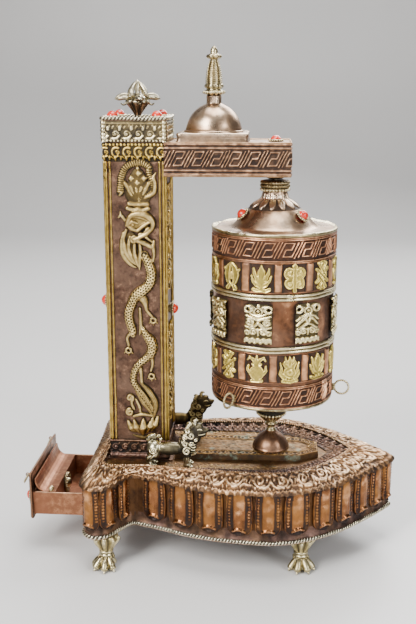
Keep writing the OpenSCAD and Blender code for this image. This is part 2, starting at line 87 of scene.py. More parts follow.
# ------------------------------------------------------------ mesh builder
class MB:
    def __init__(self):
        self.v, self.q, self.t, self.a, self.n = [], [], [], [], 0

    def add(self, V, q=None, t=None, a=1.0):
        V = np.asarray(V, float).reshape(-1, 3)
        if q is not None and len(q): self.q.append(np.asarray(q, int).reshape(-1, 4) + self.n)
        if t is not None and len(t): self.t.append(np.asarray(t, int).reshape(-1, 3) + self.n)
        self.v.append(V)
        self.a.append(np.broadcast_to(np.asarray(a, float).ravel(), (len(V),)) if np.size(a) in (1, len(V)) else np.full(len(V), 1.0))
        self.n += len(V)

    def grid(self, P, a=1.0, cu=False, cv=False, flip=False):
        P = np.asarray(P, float); nv, nu = P.shape[:2]
        I = np.arange(nv * nu).reshape(nv, nu)
        A = np.concatenate([I, I[:, :1]], 1) if cu else I
        A = np.concatenate([A, A[:1]], 0) if cv else A
        q = np.stack([A[:-1, :-1], A[:-1, 1:], A[1:, 1:], A[1:, :-1]], -1).reshape(-1, 4)
        if flip: q = q[:, ::-1]
        self.add(P, q, a=a if np.size(a) == 1 else np.asarray(a))

    def tube(self, path, r, n=10, a=1.0, closed=False, caps=True, up=(0, 0, 1), prof=None):
        P = np.asarray(path, float); m = len(P)
        r = np.broadcast_to(np.asarray(r, float), (m,))
        if closed: T = np.roll(P, -1, 0) - np.roll(P, 1, 0)
        else: T = np.gradient(P, axis=0)
        T /= np.maximum(np.linalg.norm(T, axis=1, keepdims=True), 1e-9)
        N = np.zeros_like(P); u = np.array(up, float)
        x = np.cross(T[0], u)
        if np.linalg.norm(x) < 1e-3: x = np.cross(T[0], [1, 0, 0])
        nn = np.cross(x, T[0]); nn /= np.linalg.norm(nn)
        for i in range(m):
            nn = nn - T[i] * (nn @ T[i]); nn /= max(np.linalg.norm(nn), 1e-9); N[i] = nn
        B = np.cross(T, N)
        if closed:
            # share out the frame's twist round the loop
            n0 = N[0] - T[0] * 0; e = N[-1] - T[0] * (N[-1] @ T[0]); ang = math.atan2(float(np.cross(e, n0) @ T[0]), float(e @ n0))
            w = np.arange(m) / m * ang
            N, B = N * np.cos(w)[:, None] + B * np.sin(w)[:, None] * 1, B * np.cos(w)[:, None] - N * np.sin(w)[:, None]
        th = np.arange(n) * 2 * pi / n
        rr = r[:, None] * (np.ones(n)[None] if prof is None else prof(np.arange(m)[:, None], th[None]))
        V = P[:, None] + rr[..., None] * (N[:, None] * np.cos(th)[None, :, None] + B[:, None] * np.sin(th)[None, :, None])
        aa = a if np.size(a) == 1 else np.asarray(a).reshape(m, -1) * np.ones((m, n))
        base = self.n
        self.grid(V, aa, cu=True, cv=closed, flip=True)
        if caps and not closed:
            for k, row in ((0, 0), (m - 1, (m - 1) * n)):
                c = self.n; self.add([P[k]], a=a if np.size(a) == 1 else float(np.asarray(a).reshape(m, -1)[k, 0]))
                t = [[c, base + row + i, base + row + (i + 1) % n] for i in range(n)]
                t = np.array(t) if k == 0 else np.array(t)[:, ::-1]
                self.t.append(t[:, ::-1] if k == 0 else t[:, ::-1]) if False else self.t.append(t)
        return self

    def lathe(self, prof, n=72, c=(0, 0, 0), fn=None, a=1.0, att=None):
        pr = np.asarray(prof, float); th = np.arange(n) * 2 * pi / n
        rr = pr[:, 0][:, None] * np.ones(n)[None]; zz = pr[:, 1][:, None] * np.ones(n)[None]
        if fn is not None:
            dr, dz = fn(np.arange(len(pr))[:, None] * np.ones(n)[None], th[None] * np.ones(len(pr))[:, None], rr, zz)
            rr = rr + dr; zz = zz + dz
        V = np.stack([rr * np.cos(th) + c[0], rr * np.sin(th) + c[1], zz + c[2]], -1)
        self.grid(V, a if att is None else att(rr, th[None] * np.ones_like(rr), zz), cu=True)
        return self

    def ball(self, c, r, n=10, m=7, a=1.0, rot=None):
        r = np.broadcast_to(np.asarray(r, float), (3,))
        ph = np.linspace(0, pi, m)[1:-1]; th = np.arange(n) * 2 * pi / n
        V = np.stack([np.sin(ph)[:, None] * np.cos(th), np.sin(ph)[:, None] * np.sin(th), np.cos(ph)[:, None] * np.ones(n)], -1).reshape(-1, 3)
        V = np.concatenate([V, [[0, 0, 1], [0, 0, -1]]]) * r
        if rot is not None: V = V @ np.asarray(rot).T
        V = V + np.asarray(c, float)
        k = m - 2; I = np.arange(k * n).reshape(k, n); J = np.roll(I, -1, 1)
        q = np.stack([I[:-1], I[1:], J[1:], J[:-1]], -1).reshape(-1, 4)
        t = np.concatenate([np.stack([np.full(n, k * n), I[0], J[0]], -1), np.stack([np.full(n, k * n + 1), J[-1], I[-1]], -1)])
        self.add(V, q, t, a=a)
        return self

    def build(self, name, body, mat, slot, rep=(), smooth=True, recalc=False, angle=None):
        V = np.concatenate(self.v).copy(); V[:, 0] += SX; V *= 0.001
        q = np.concatenate(self.q) if self.q else np.zeros((0, 4), int)
        t = np.concatenate(self.t) if self.t else np.zeros((0, 3), int)
        me = bpy.data.meshes.new(name)
        me.vertices.add(len(V)); me.vertices.foreach_set("co", V.astype(np.float32).ravel())
        L = np.concatenate([q.ravel(), t.ravel()]).astype(np.int32)
        me.loops.add(len(L)); me.loops.foreach_set("vertex_index", L)
        st = np.concatenate([np.arange(len(q)) * 4, len(q) * 4 + np.arange(len(t)) * 3]).astype(np.int32)
        me.polygons.add(len(st)); me.polygons.foreach_set("loop_start", st)
        me.update(calc_edges=True)
        me.validate()
        at = me.attributes.new("cav", "FLOAT", "POINT"); at.data.foreach_set("value", np.concatenate(self.a).astype(np.float32))
        if recalc:
            bm = bmesh.new(); bm.from_mesh(me); bmesh.ops.recalc_face_normals(bm, faces=bm.faces); bm.to_mesh(me); bm.free()
        return place(name, me, body, mat, rep, smooth)


def place(name, me, body, mat, rep=(), smooth=True):
    me.polygons.foreach_set("use_smooth", np.full(len(me.polygons), smooth)); me.update()
    ob = bpy.data.objects.new(name, me); scene.collection.objects.link(ob)
    me.materials.clear(); me.materials.append(mat)
    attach(ob, body)
    if rep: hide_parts(*([rep] if isinstance(rep, str) else rep))
    return ob


# ------------------------------------------------------- 2-D relief strokes
def stroke(X, Y, pts, w0, w1=None):
    pts = np.asarray(pts, float)
    w = np.asarray(w0, float) if np.ndim(w0) else np.linspace(w0, w0 if w1 is None else w1, len(pts))
    best = np.full(np.shape(X), -1e9); W = np.ones(np.shape(X)); S = np.zeros(np.shape(X)); D = np.zeros(np.shape(X)); s0 = 0.0
    for i in range(len(pts) - 1):
        (ax, ay), (bx, by) = pts[i], pts[i + 1]; dx, dy = bx - ax, by - ay; L2 = dx * dx + dy * dy + 1e-12
        t = np.clip(((X - ax) * dx + (Y - ay) * dy) / L2, 0, 1)
        ex, ey = X - ax - t * dx, Y - ay - t * dy
        d = np.hypot(ex, ey); ww = w[i] + (w[i + 1] - w[i]) * t; val = ww - d; m = val > best
        best = np.where(m, val, best); W = np.where(m, ww, W); S = np.where(m, s0 + t * math.sqrt(L2), S)
        D = np.where(m, np.sign(dx * ey - dy * ex) * d, D); s0 += math.sqrt(L2)
    return best, W, S, D


def rnd(best, W):
    return np.sqrt(np.clip(W * W - (W - np.clip(best, 0, None)) ** 2, 0, None)) * (best > 0)


def spiral(cx, cy, r0, r1, a0, turns, n=26):
    t = np.linspace(0, 1, n); r = r0 + (r1 - r0) * t; a = a0 + turns * 2 * pi * t
    return np.stack([cx + r * np.cos(a), cy + r * np.sin(a)], -1)


def arc(cx, cy, r, a0, a1, n=12, ry=None):
    a = np.radians(np.linspace(a0, a1, n)); return np.stack([cx + r * np.cos(a), cy + (ry or r) * np.sin(a)], -1)


def cr(P, n, closed=True):
    P = np.asarray(P, float); m = len(P); out = []
    for i in range(m if closed else m - 1):
        if closed: a, b, c, d = P[(i - 1) % m], P[i], P[(i + 1) % m], P[(i + 2) % m]
        else: a, b, c, d = P[max(i - 1, 0)], P[i], P[i + 1], P[min(i + 2, m - 1)]
        t = (np.arange(n) / n)[:, None]
        out.append(0.5 * (2 * b + (c - a) * t + (2 * a - 5 * b + 4 * c - d) * t * t + (3 * b - a - 3 * c + d) * t ** 3))
    out = np.concatenate(out)
    return out if closed else np.concatenate([out, P[-1:]])


# key pattern: one unit, u and v in 0..1, already slanted when sampled
KEY = [[(0, 0.0), (0, 1.0)], [(0.17, 0.06), (0.17, 0.90), (0.65, 0.90), (0.65, 0.52), (0.37, 0.52), (0.37, 0.12), (0.83, 0.12), (0.83, 0.94)]]


def meander(S, V, pitch, h, line=0.62, shear=0.25, seed=1.0):
    """height 0..1 of the key pattern at length S (mm) and height V (mm, 0..h)"""
    S = S + 0.35 * (vnoise(S / 6, V / 5, seed) - .5); V2 = V + 0.3 * (vnoise(S / 5, V / 9, seed + 3) - .5)
    u = (S - shear * V2) / pitch; u = (u - np.floor(u)) * pitch
    out = np.full(np.shape(u), 0.0)
    for k in (-1, 0, 1):
        for pl in KEY:
            p = np.array(pl) * [pitch, h] + [k * pitch, 0]
            b, W, _, _ = stroke(u, V2, p, line)
            out = np.maximum(out, sm(b, 0, line * 0.85))
    return out * sm(V, 0.0, 0.2) * sm(h - V, 0, 0.2)


def ridge(x, c, w):
    t = np.clip(1 - np.abs(x - c) / w, 0, 1)
    return np.sqrt(np.clip(1 - (1 - t) ** 2, 0, 1))


# --------------------------------------------------------------- materials
def N(nt, kind, **kw):
    n = nt.nodes.new(kind)
    for k, v in kw.items():
        if k.startswith("i_"): n.inputs[k[2:].replace("_", " ")].default_value = v
        else: setattr(n, k, v)
    return n


def ramp(nt, stops, fac, interp="LINEAR"):
    r = nt.nodes.new("ShaderNodeValToRGB"); r.color_ramp.interpolation = interp
    e = r.color_ramp.elements
    while len(e) > 1: e.remove(e[-1])
    e[0].position = stops[0][0]; e[0].color = stops[0][1]
    for p, c in stops[1:]:
        x = e.new(p); x.color = c
    nt.links.new(fac, r.inputs["Fac"]); return r


def c4(c): return (c[0], c[1], c[2], 1.0)


def mixc(nt, fac, a, b, blend="MIX"):
    m = nt.nodes.new("ShaderNodeMix"); m.data_type = "RGBA"; m.blend_type = blend
    A, B, F = m.inputs[6], m.inputs[7], m.inputs[0]
    for s, v in ((A, a), (B, b), (F, fac)):
        if hasattr(v, "is_output"): nt.links.new(v, s)
        else: s.default_value = v if not isinstance(v, tuple) or len(v) == 4 else c4(v)
    return m.outputs[2]


def math_(nt, op, a, b=None, clamp=False):
    m = nt.nodes.new("ShaderNodeMath"); m.operation = op; m.use_clamp = clamp
    for i, v in enumerate((a, b)):
        if v is None: continue
        if hasattr(v, "is_output"): nt.links.new(v, m.inputs[i])
        else: m.inputs[i].default_value = v
    return m.outputs[0]


def metal(name, hi, mid, dark, tint=None, rough=(0.24, 0.5), cav=True, base_cav=0.75, metallic=1.0, grain=1.0, blot=1.0, bump=0.25, patina=None, scale=1.0):
    sat = lambda c, s, g: tuple(max(0.0, min(1.0, g * (sum(c) / 3 + (x - sum(c) / 3) * s))) for x in c)
    cu = hi[0] > 1.14 * hi[1]; wk = (1.0, 0.90, 0.70) if cu else (1.0, 0.95, 0.76)
    wm = lambda c: tuple(x * y for x, y in zip(c, wk))
    hi, mid, dark = wm(sat(hi, 1.18, 0.92)), wm(sat(mid, 1.22, 0.46)), wm(sat(dark, 1.1, 0.26))
    if tint is not None: tint = wm(sat(tint, 1.25, 0.56))
    m = bpy.data.materials.new(name); m.use_nodes = True; nt = m.node_tree; nt.nodes.clear()
    out = N(nt, "ShaderNodeOutputMaterial"); bs = N(nt, "ShaderNodeBsdfPrincipled"); nt.links.new(bs.outputs[0], out.inputs[0])
    tc = N(nt, "ShaderNodeTexCoord")
    n1 = N(nt, "ShaderNodeTexNoise", i_Scale=55.0 * scale, i_Detail=3.0, i_Roughness=0.55)
    n2 = N(nt, "ShaderNodeTexNoise", i_Scale=240.0 * scale, i_Detail=4.0, i_Roughness=0.65)
    n3 = N(nt, "ShaderNodeTexNoise", i_Scale=1100.0 * scale, i_Detail=2.0)
    for n in (n1, n2, n3): nt.links.new(tc.outputs["Object"], n.inputs["Vector"])
    if cav:
        at = N(nt, "ShaderNodeAttribute", attribute_name="cav"); src = at.outputs["Fac"]
        f = math_(nt, "ADD", src, math_(nt, "MULTIPLY", math_(nt, "SUBTRACT", n2.outputs["Fac"], 0.5), 0.55 * grain))
    else:
        f = math_(nt, "ADD", math_(nt, "MULTIPLY", math_(nt, "SUBTRACT", n2.outputs["Fac"], 0.5), 0.8 * grain), base_cav)
    r = ramp(nt, [(0.10, c4(dark)), (0.40, c4([a * .55 + b * .45 for a, b in zip(dark, mid)])), (0.66, c4(mid)), (0.98, c4(hi))], f)
    col = r.outputs["Color"]
    if tint is not None:
        tr = ramp(nt, [(0.42, (0, 0, 0, 1)), (0.66, (1, 1, 1, 1))], n1.outputs["Fac"])
        col = mixc(nt, math_(nt, "MULTIPLY", tr.outputs["Color"], 0.75 * blot), col, c4(tint))
        # keep recesses dark under the tint
        dk = ramp(nt, [(0.1, (1, 1, 1, 1)), (0.5, (0, 0, 0, 1))], f)
        col = mixc(nt, math_(nt, "MULTIPLY", dk.outputs["Color"], 0.85), col, c4(dark))
    if patina is not None:
        n4 = N(nt, "ShaderNodeTexNoise", i_Scale=95.0 * scale, i_Detail=5.0, i_Roughness=0.7); nt.links.new(tc.outputs["Object"], n4.inputs["Vector"])
        pr = ramp(nt, [(0.55, (0, 0, 0, 1)), (0.72, (1, 1, 1, 1))], n4.outputs["Fac"])
        col = mixc(nt, math_(nt, "MULTIPLY", pr.outputs["Color"], 0.6), col, c4(patina))
    nt.links.new(col, bs.inputs["Base Color"])
    rr = ramp(nt, [(0.25, (rough[0],) * 3 + (1,)), (0.75, (rough[1],) * 3 + (1,))], n1.outputs["Fac"])
    dr = ramp(nt, [(0.15, (0.30, 0.30, 0.30, 1)), (0.55, (0, 0, 0, 1))], f)
    nt.links.new(math_(nt, "ADD", math_(nt, "ADD", rr.outputs["Color"], math_(nt, "MULTIPLY", n2.outputs["Fac"], 0.1)), dr.outputs["Color"], True), bs.inputs["Roughness"])
    mr = ramp(nt, [(0.05, (metallic * 0.55,) * 3 + (1,)), (0.5, (metallic,) * 3 + (1,))], f)
    nt.links.new(mr.outputs["Color"], bs.inputs["Metallic"])
    bp = N(nt, "ShaderNodeBump", i_Strength=bump, i_Distance=0.0004)
    hh = math_(nt, "ADD", math_(nt, "MULTIPLY", n2.outputs["Fac"], 1.0), math_(nt, "MULTIPLY", n3.outputs["Fac"], 0.35))
    nt.links.new(hh, bp.inputs["Height"]); nt.links.new(bp.outputs[0], bs.inputs["Normal"])
    return m


def coral_mat():
    m = bpy.data.materials.new("coral"); m.use_nodes = True; nt = m.node_tree; nt.nodes.clear()
    out = N(nt, "ShaderNodeOutputMaterial"); bs = N(nt, "ShaderNodeBsdfPrincipled"); nt.links.new(bs.outputs[0], out.inputs[0])
    tc = N(nt, "ShaderNodeTexCoord"); n1 = N(nt, "ShaderNodeTexNoise", i_Scale=330.0, i_Detail=3.0)
    wv = N(nt, "ShaderNodeTexWave", i_Scale=260.0, i_Distortion=5.0, i_Detail=2.0)
    nt.links.new(tc.outputs["Object"], n1.inputs["Vector"]); nt.links.new(tc.outputs["Object"], wv.inputs["Vector"])
    r = ramp(nt, [(0.3, (0.46, 0.016, 0.006, 1)), (0.55, (0.64, 0.030, 0.010, 1)), (0.75, (0.74, 0.060, 0.020, 1))], n1.outputs["Fac"])
    col = mixc(nt, math_(nt, "MULTIPLY", wv.outputs["Fac"], 0.25), r.outputs["Color"], (0.42, 0.014, 0.006, 1))
    nt.links.new(col, bs.inputs["Base Color"])
    rr = ramp(nt, [(0.3, (0.16, 0.16, 0.16, 1)), (0.8, (0.30, 0.30, 0.30, 1))], n1.outputs["Fac"]); nt.links.new(rr.outputs["Color"], bs.inputs["Roughness"])
    bs.inputs["Coat Weight"].default_value = 0.5; bs.inputs["Coat Roughness"].default_value = 0.12
    bs.inputs["Subsurface Weight"].default_value = 0.12; bs.inputs["Subsurface Radius"].default_value = (0.002, 0.0005, 0.0003)
    return m


M = {
    "petal": metal("petal_copper", (0.90, 0.57, 0.40), (0.46, 0.235, 0.145), (0.055, 0.026, 0.02), tint=(0.50, 0.27, 0.13), rough=(0.14, 0.32), bump=0.3),
    "rim": metal("rim_copper", (0.92, 0.74, 0.60), (0.50, 0.34, 0.25), (0.085, 0.05, 0.045), tint=(0.66, 0.40, 0.24), rough=(0.22, 0.42), blot=0.5),
    "gallery": metal("gallery_copper", (0.74, 0.56, 0.52), (0.42, 0.29, 0.29), (0.015, 0.01, 0.01), tint=(0.50, 0.33, 0.22), rough=(0.3, 0.5), blot=0.6),
    "wall": metal("wall_copper", (0.42, 0.28, 0.20), (0.20, 0.12, 0.085), (0.05, 0.03, 0.025), tint=(0.26, 0.15, 0.09), cav=False, base_cav=0.5, rough=(0.35, 0.6)),
    "deck": metal("deck_copper", (0.52, 0.36, 0.20), (0.30, 0.19, 0.11), (0.06, 0.04, 0.03), tint=(0.22, 0.13, 0.08), cav=False, base_cav=0.62, patina=(0.20, 0.27, 0.21), rough=(0.3, 0.55)),
    "plat": metal("platform_copper", (0.68, 0.50, 0.26), (0.38, 0.25, 0.12), (0.06, 0.04, 0.03), tint=(0.34, 0.20, 0.11), patina=(0.22, 0.31, 0.24), rough=(0.3, 0.5)),
    "column": metal("column_copper", (0.50, 0.35, 0.29), (0.25, 0.165, 0.145), (0.07, 0.045, 0.045), tint=(0.30, 0.22, 0.20), cav=False, base_cav=0.58, grain=1.5, rough=(0.34, 0.55), bump=0.5),
    "drum": metal("drum_copper", (0.90, 0.60, 0.46), (0.52, 0.27, 0.185), (0.08, 0.042, 0.034), tint=(0.40, 0.22, 0.17), rough=(0.22, 0.42), blot=0.8),
    "barrel": metal("barrel_copper", (0.86, 0.52, 0.36), (0.44, 0.235, 0.165), (0.075, 0.05, 0.045), tint=(0.27, 0.185, 0.165), rough=(0.24, 0.46)),
    "dome": metal("dome_copper", (0.98, 0.86, 0.80), (0.98, 0.76, 0.66), (0.09, 0.06, 0.05), tint=(0.60, 0.37, 0.24), rough=(0.16, 0.34), blot=0.7, bump=0.15),
    "stupa": metal("stupa_copper", (0.98, 0.85, 0.80), (0.98, 0.78, 0.70), (0.2, 0.13, 0.11), tint=(0.60, 0.41, 0.32), rough=(0.14, 0.3), cav=False, base_cav=0.7, grain=0.6, bump=0.1),
    "sheet": metal("sheet_copper", (0.72, 0.44, 0.33), (0.50, 0.27, 0.20), (0.12, 0.06, 0.05), tint=(0.42, 0.22, 0.17), cav=False, base_cav=0.68, grain=0.8, rough=(0.3, 0.5), bump=0.2),
    "arm": metal("arm_copper", (0.84, 0.60, 0.48), (0.48, 0.31, 0.25), (0.08, 0.05, 0.045), tint=(0.40, 0.28, 0.23), rough=(0.22, 0.42), blot=0.6),
    "brass": metal("yellow_brass", (0.93, 0.76, 0.36), (0.66, 0.49, 0.19), (0.07, 0.05, 0.03), tint=(0.52, 0.42, 0.17), rough=(0.2, 0.4), blot=0.6),
    "plaque": metal("plaque_brass", (0.99, 0.86, 0.40), (0.98, 0.84, 0.34), (0.09, 0.07, 0.035), tint=(0.70, 0.62, 0.22), rough=(0.20, 0.36), blot=0.6),
    "dragon": metal("dragon_brass", (0.86, 0.74, 0.46), (0.50, 0.39, 0.20), (0.06, 0.042, 0.03), tint=(0.44, 0.34, 0.18), rough=(0.2, 0.4), blot=0.5),
    "pale": metal("pale_metal", (0.96, 0.90, 0.74), (0.56, 0.48, 0.34), (0.075, 0.06, 0.048), tint=(0.66, 0.52, 0.32), rough=(0.16, 0.34), blot=0.5),
    "emblem": metal("emblem_brass", (0.99, 0.91, 0.66), (0.86, 0.72, 0.42), (0.07, 0.055, 0.035), tint=(0.62, 0.50, 0.26), rough=(0.16, 0.34), blot=0.5),
    "white": metal("white_metal", (0.97, 0.95, 0.90), (0.66, 0.61, 0.52), (0.06, 0.05, 0.045), tint=(0.52, 0.46, 0.36), rough=(0.15, 0.32), blot=0.4),
    "cast": metal("cast_brass", (0.96, 0.91, 0.74), (0.60, 0.53, 0.36), (0.055, 0.045, 0.032), tint=(0.54, 0.46, 0.27), rough=(0.18, 0.38), blot=0.5),
    "lion": metal("lion_brass", (0.98, 0.94, 0.80), (0.46, 0.42, 0.33), (0.05, 0.04, 0.03), tint=(0.40, 0.36, 0.26), rough=(0.16, 0.34), blot=0.4),
    # a darker copy of the lion brass for the rear lion: painted shade
    "lion_shaded": metal("cast_brass_painted_shade", (0.66, 0.58, 0.38), (0.34, 0.27, 0.15), (0.03, 0.024, 0.018), tint=(0.26, 0.19, 0.10), rough=(0.24, 0.44), blot=0.8),
    "dark": metal("dark_metal", (0.36, 0.30, 0.24), (0.17, 0.13, 0.105), (0.03, 0.024, 0.02), tint=(0.13, 0.10, 0.08), rough=(0.3, 0.5)),
    "darkcad": metal("dark_metal_plain", (0.36, 0.30, 0.24), (0.19, 0.15, 0.12), (0.03, 0.024, 0.02), tint=(0.13, 0.10, 0.08), cav=False, base_cav=0.6, rough=(0.3, 0.5)),
    "steel": metal("spindle_steel", (0.48, 0.46, 0.43), (0.27, 0.26, 0.25), (0.05, 0.05, 0.05), tint=(0.22, 0.2, 0.18), cav=False, base_cav=0.65, rough=(0.22, 0.4)),
    "palecad": metal("pale_metal_plain", (0.92, 0.88, 0.76), (0.66, 0.59, 0.45), (0.10, 0.08, 0.06), tint=(0.6, 0.5, 0.33), cav=False, base_cav=0.72, rough=(0.18, 0.36)),
    "coral": coral_mat(),
}
print("materials done")


# ================================================================== DRUM
DRUM = "drum"


def cyl_patch(mb, a0, a1, z0, z1, nu, nv, hfn, closed=False, r=R, afn=None):
    """relief on the drum: hfn(S, Z) gives (height, cav); S in mm along the wall from azimuth a0 (degrees, 0 at -Y)"""
    a = np.radians(np.linspace(a0, a1, nu, endpoint=not closed))[None] * np.ones(nv)[:, None]
    z = np.linspace(z0, z1, nv)[:, None] * np.ones(nu)[None]
    h, c = hfn((a - math.radians(a0)) * r, z)
    rr = r + h
    P = np.stack([rr * np.sin(a), -rr * np.cos(a), z], -1)
    mb.grid(P, c, cu=closed)


# barrel with upright copper bars between the plaques and fine border lines
PH_U, PH_L, PH_E = -11.0, -14.0, -13.0


def barrel_h(S, Z):
    d = ZT - Z; az = np.degrees(S / R)
    h = 0.10 * (vnoise(S / 7, Z / 7, 3) - .5); c = np.full(S.shape, 0.46)
    h = h + 0.22 * (vnoise(S / 16, Z / 13, 9) - .5)
    for ph, d0, d1 in ((PH_U, 17.6, 37.0), (PH_L, 78.3, 97.6)):
        zone = (d > d0) & (d < d1)
        u = ((az - ph - 15 + 15) % 30 - 15) * math.radians(1) * R     # mm from the bar's centre line
        wob = 0.5 * (vnoise(Z / 4, np.floor((az - ph) / 30) * 3.1, 5) - .5)
        w = 2.7 + 0.3 * vnoise(np.floor((az - ph) / 30), 0 * Z, 6)
        e = sm(w - np.abs(u + wob), 0, 0.7) * sm(np.minimum(d - d0, d1 - d), 0.2, 1.2)
        prof = np.sqrt(np.clip(1 - (np.clip(np.abs(u + wob) / w, 0, 1)) ** 2.6, 0, 1))
        hb = e * (0.45 + 0.65 * prof); h = np.where(zone, h + hb, h)
        groove = sm(1.0 - np.abs(np.abs(u + wob) - w - 0.45), 0, 1)
        cz = 0.16 + 0.16 * vnoise(S / 2.2, Z / 2.2, 8) + 0.62 * e * (0.65 + 0.35 * prof) - 0.18 * groove
        c = np.where(zone, cz, c)
        for dd in (d0 - 0.1, d1 + 0.1):
            l = ridge(d, dd, 0.55); h = h + 0.5 * l; c = c + 0.35 * l
    mid = (d > 42) & (d < 73)
    c = np.where(mid, 0.34 + 0.34 * sm(vnoise(S / 9, Z / 11, 21), 0.35, 0.8) + 0.1 * vnoise(S / 2, Z / 2, 22), c)
    # darker beside the hoops and round the emblems
    for dd in (40, 75.1): c = c - 0.3 * sm(3.6 - np.abs(d - dd), 0, 1.6)
    eu = np.abs(((az - PH_E + 22.5) % 45 - 22.5) * math.radians(1) * R)
    c = np.where(mid, c - 0.22 * sm(10.5 - eu, 0, 3.5) * sm(15.5 - np.abs(d - 57.6), 0, 3), c)
    return h, np.clip(c, 0.04, 1)


mb = MB(); cyl_patch(mb, 0, 360, ZB + 0.7, ZT - 0.7, 620, 290, barrel_h, True)
mb.build("drum_barrel_chased", DRUM, M["barrel"], "drum_copper", "drum_barrel")


# the two key-pattern bands, with double border wires
def band_h(z_lo, h_key, seed, patch=None):
    def f(S, Z):
        v = Z - z_lo
        k = meander(S, v - 2.0, 2 * pi * R / 20, h_key, 0.70, 0.50, seed) * (v > 1.6) * (v < h_key + 2.4)
        wob = 0.12 * (vnoise(S / 8, 0 * S, seed + 5) - .5)
        top = h_key + 4.0
        b = np.maximum.reduce([ridge(v + wob, 0.35, 0.5), ridge(v + wob, top - 1.35, 0.5), ridge(v + wob, top - 0.2, 0.5)])
        h = 0.25 + 0.82 * np.maximum(k, b * 0.9) + 0.12 * (vnoise(S / 3, Z / 3, seed) - .5)
        c = 0.18 + 0.66 * np.maximum(k, b) + 0.16 * (vnoise(S / 1.5, Z / 1.5, seed + 2) - .3)
        if patch is not None:
            u = (S - patch + 40) % (2 * pi * R) - 40
            m = sm(2.6 + 1.6 * np.abs(vnoise(Z / 1.6, 0 * Z, 44) - .5) - np.abs(u + 1.5 * (vnoise(Z / 2.5, 0 * Z, 45) - .5)), 0, 1.0) * sm(v, 0, 1.5)
            h = h + m * (0.35 + 0.5 * vnoise(S / 1.1, Z / 1.4, 47)); c = np.clip(c + m * 0.5, 0, 1.1)
        return h, np.clip(c, 0.03, 1)
    return f


mb = MB()
cyl_patch(mb, 0, 360, ZT - 16.9, ZT - 1.2, 900, 56, band_h(ZT - 16.6, 11.2, 2.0), True)
cyl_patch(mb, 0, 360, ZB + 1.2, ZB + 16.9, 900, 56, band_h(ZB + 1.6, 11.0, 7.0, patch=math.radians(58) * R), True)
mb.build("drum_key_bands", DRUM, M["drum"], "drum_copper", "drum_meander_bands")

# lips: folded over, a little wavy
mb = MB()


def wavy(i, th, r, z):
    n1 = vnoise(th * 4.5 + 3, 0 * th + 0.5, 2) - .5; n2 = vnoise(th * 14, 0 * th, 4) - .5
    return 0.5 * n1 + 0.25 * n2, (0.9 * n1 + 0.5 * n2) * (i < 6)


mb.lathe([(38.6, ZT + 0.15), (40.3, ZT + 0.35), (41.4, ZT + 1.0), (42.2, ZT + 0.7), (42.45, ZT - 0.1), (42.1, ZT - 0.9), (41.5, ZT - 1.5), (41.0, ZT - 2.0)], 260, fn=wavy,
         att=lambda r, t, z: 0.55 + 0.35 * sm(z, ZT - 0.2, ZT + 0.8) + 0.25 * (vnoise(t * 20, r, 6) - .5))
mb.lathe([(41.0, ZB + 2.0), (41.7, ZB + 1.4), (42.0, ZB + 0.6), (41.8, ZB - 0.2), (41.0, ZB - 0.5), (40.2, ZB - 0.2), (39.6, ZB + 0.3)], 260,
         fn=lambda i, t, r, z: (0.35 * (vnoise(t * 5, 0 * t, 8) - .5), 0.3 * (vnoise(t * 6, 0 * t, 12) - .5)),
         att=lambda r, t, z: 0.5 + 0.3 * vnoise(t * 18, z, 9))
mb.build("drum_lips", DRUM, M["pale"], "rim_copper", "drum_lip_rings")

# hoops: two round wires with a darker channel, soldered at one place
mb = MB()
for zc, sd in ((ZT - 40.0, 1), (ZT - 75.1, 5)):
    pr = []
    for k in range(27):
        v = -2.3 + 4.6 * k / 26
        hgt = 0.35 + 1.15 * max(ridge(v, 1.15, 1.05), ridge(v, -1.15, 1.05)); pr.append((R + (hgt if abs(v) < 2.25 else -0.3), zc + v))
    mb.lathe(pr, 300, fn=lambda i, t, r, z: (0.25 * (vnoise(t * 6, z * .2, sd) - .5) + 0.9 * np.exp(-((np.mod(t + 1.75 - 0.2 * sd, 2 * pi) - .25) / 0.035) ** 2), 0.55 * (vnoise(t * 3.0, 0 * t, sd + 2) - .5)),
             att=lambda r, t, z: np.clip(0.15 + 0.55 * (r - R), 0.1, 0.95) + 0.15 * (vnoise(t * 30, z, 3) - .5))
mb.build("drum_hoops_wire", DRUM, M["pale"], "pale_brass", "drum_hoops")


# ---- plaques: invented leaf, cloud and knot devices, all mirror-symmetric or knotted, so none is a letter
def mir(s): return [s, [(-x, y) for x, y in s]]


def dev_lotus():
    s = [([(0, -7.2), (0, -2.0)], 1.5, 1.2)]
    s += [(p, 1.7, 0.5) for p in mir([(0, -3.4), (2.6, -1.0), (4.4, 2.6), (5.4, 6.0)])]
    s += [(p, 1.3, 0.5) for p in mir([(0, -5.6), (3.2, -4.4), (5.6, -1.6), (6.6, 1.4)])]
    s += [([(0, -1.5), (0, 3.4), (0, 7.8)], [1.4, 2.3, 0.4], None)]
    s += [(p, 1.2, 1.0) for p in mir([(0, -7.6), (2.8, -8.2), (5.4, -7.2)])]
    return s


def dev_knot():
    s = []
    for k in (-3.6, 0, 3.6):
        s += [([(-5.4 + abs(k) * .5, k - 4.6 * 0.9 + 0), (5.4 - abs(k) * .5, k + 4.6 * 0.9)], 0.95, 0.95), ([(-5.4 + abs(k) * .5, k + 4.6 * 0.9), (5.4 - abs(k) * .5, k - 4.6 * 0.9)], 0.95, 0.95)]
    s += [(arc(0, 6.6, 2.3, -30, 210), 0.95, 0.95), (arc(0, -6.6, 2.3, 150, 390), 0.95, 0.95)]
    return s


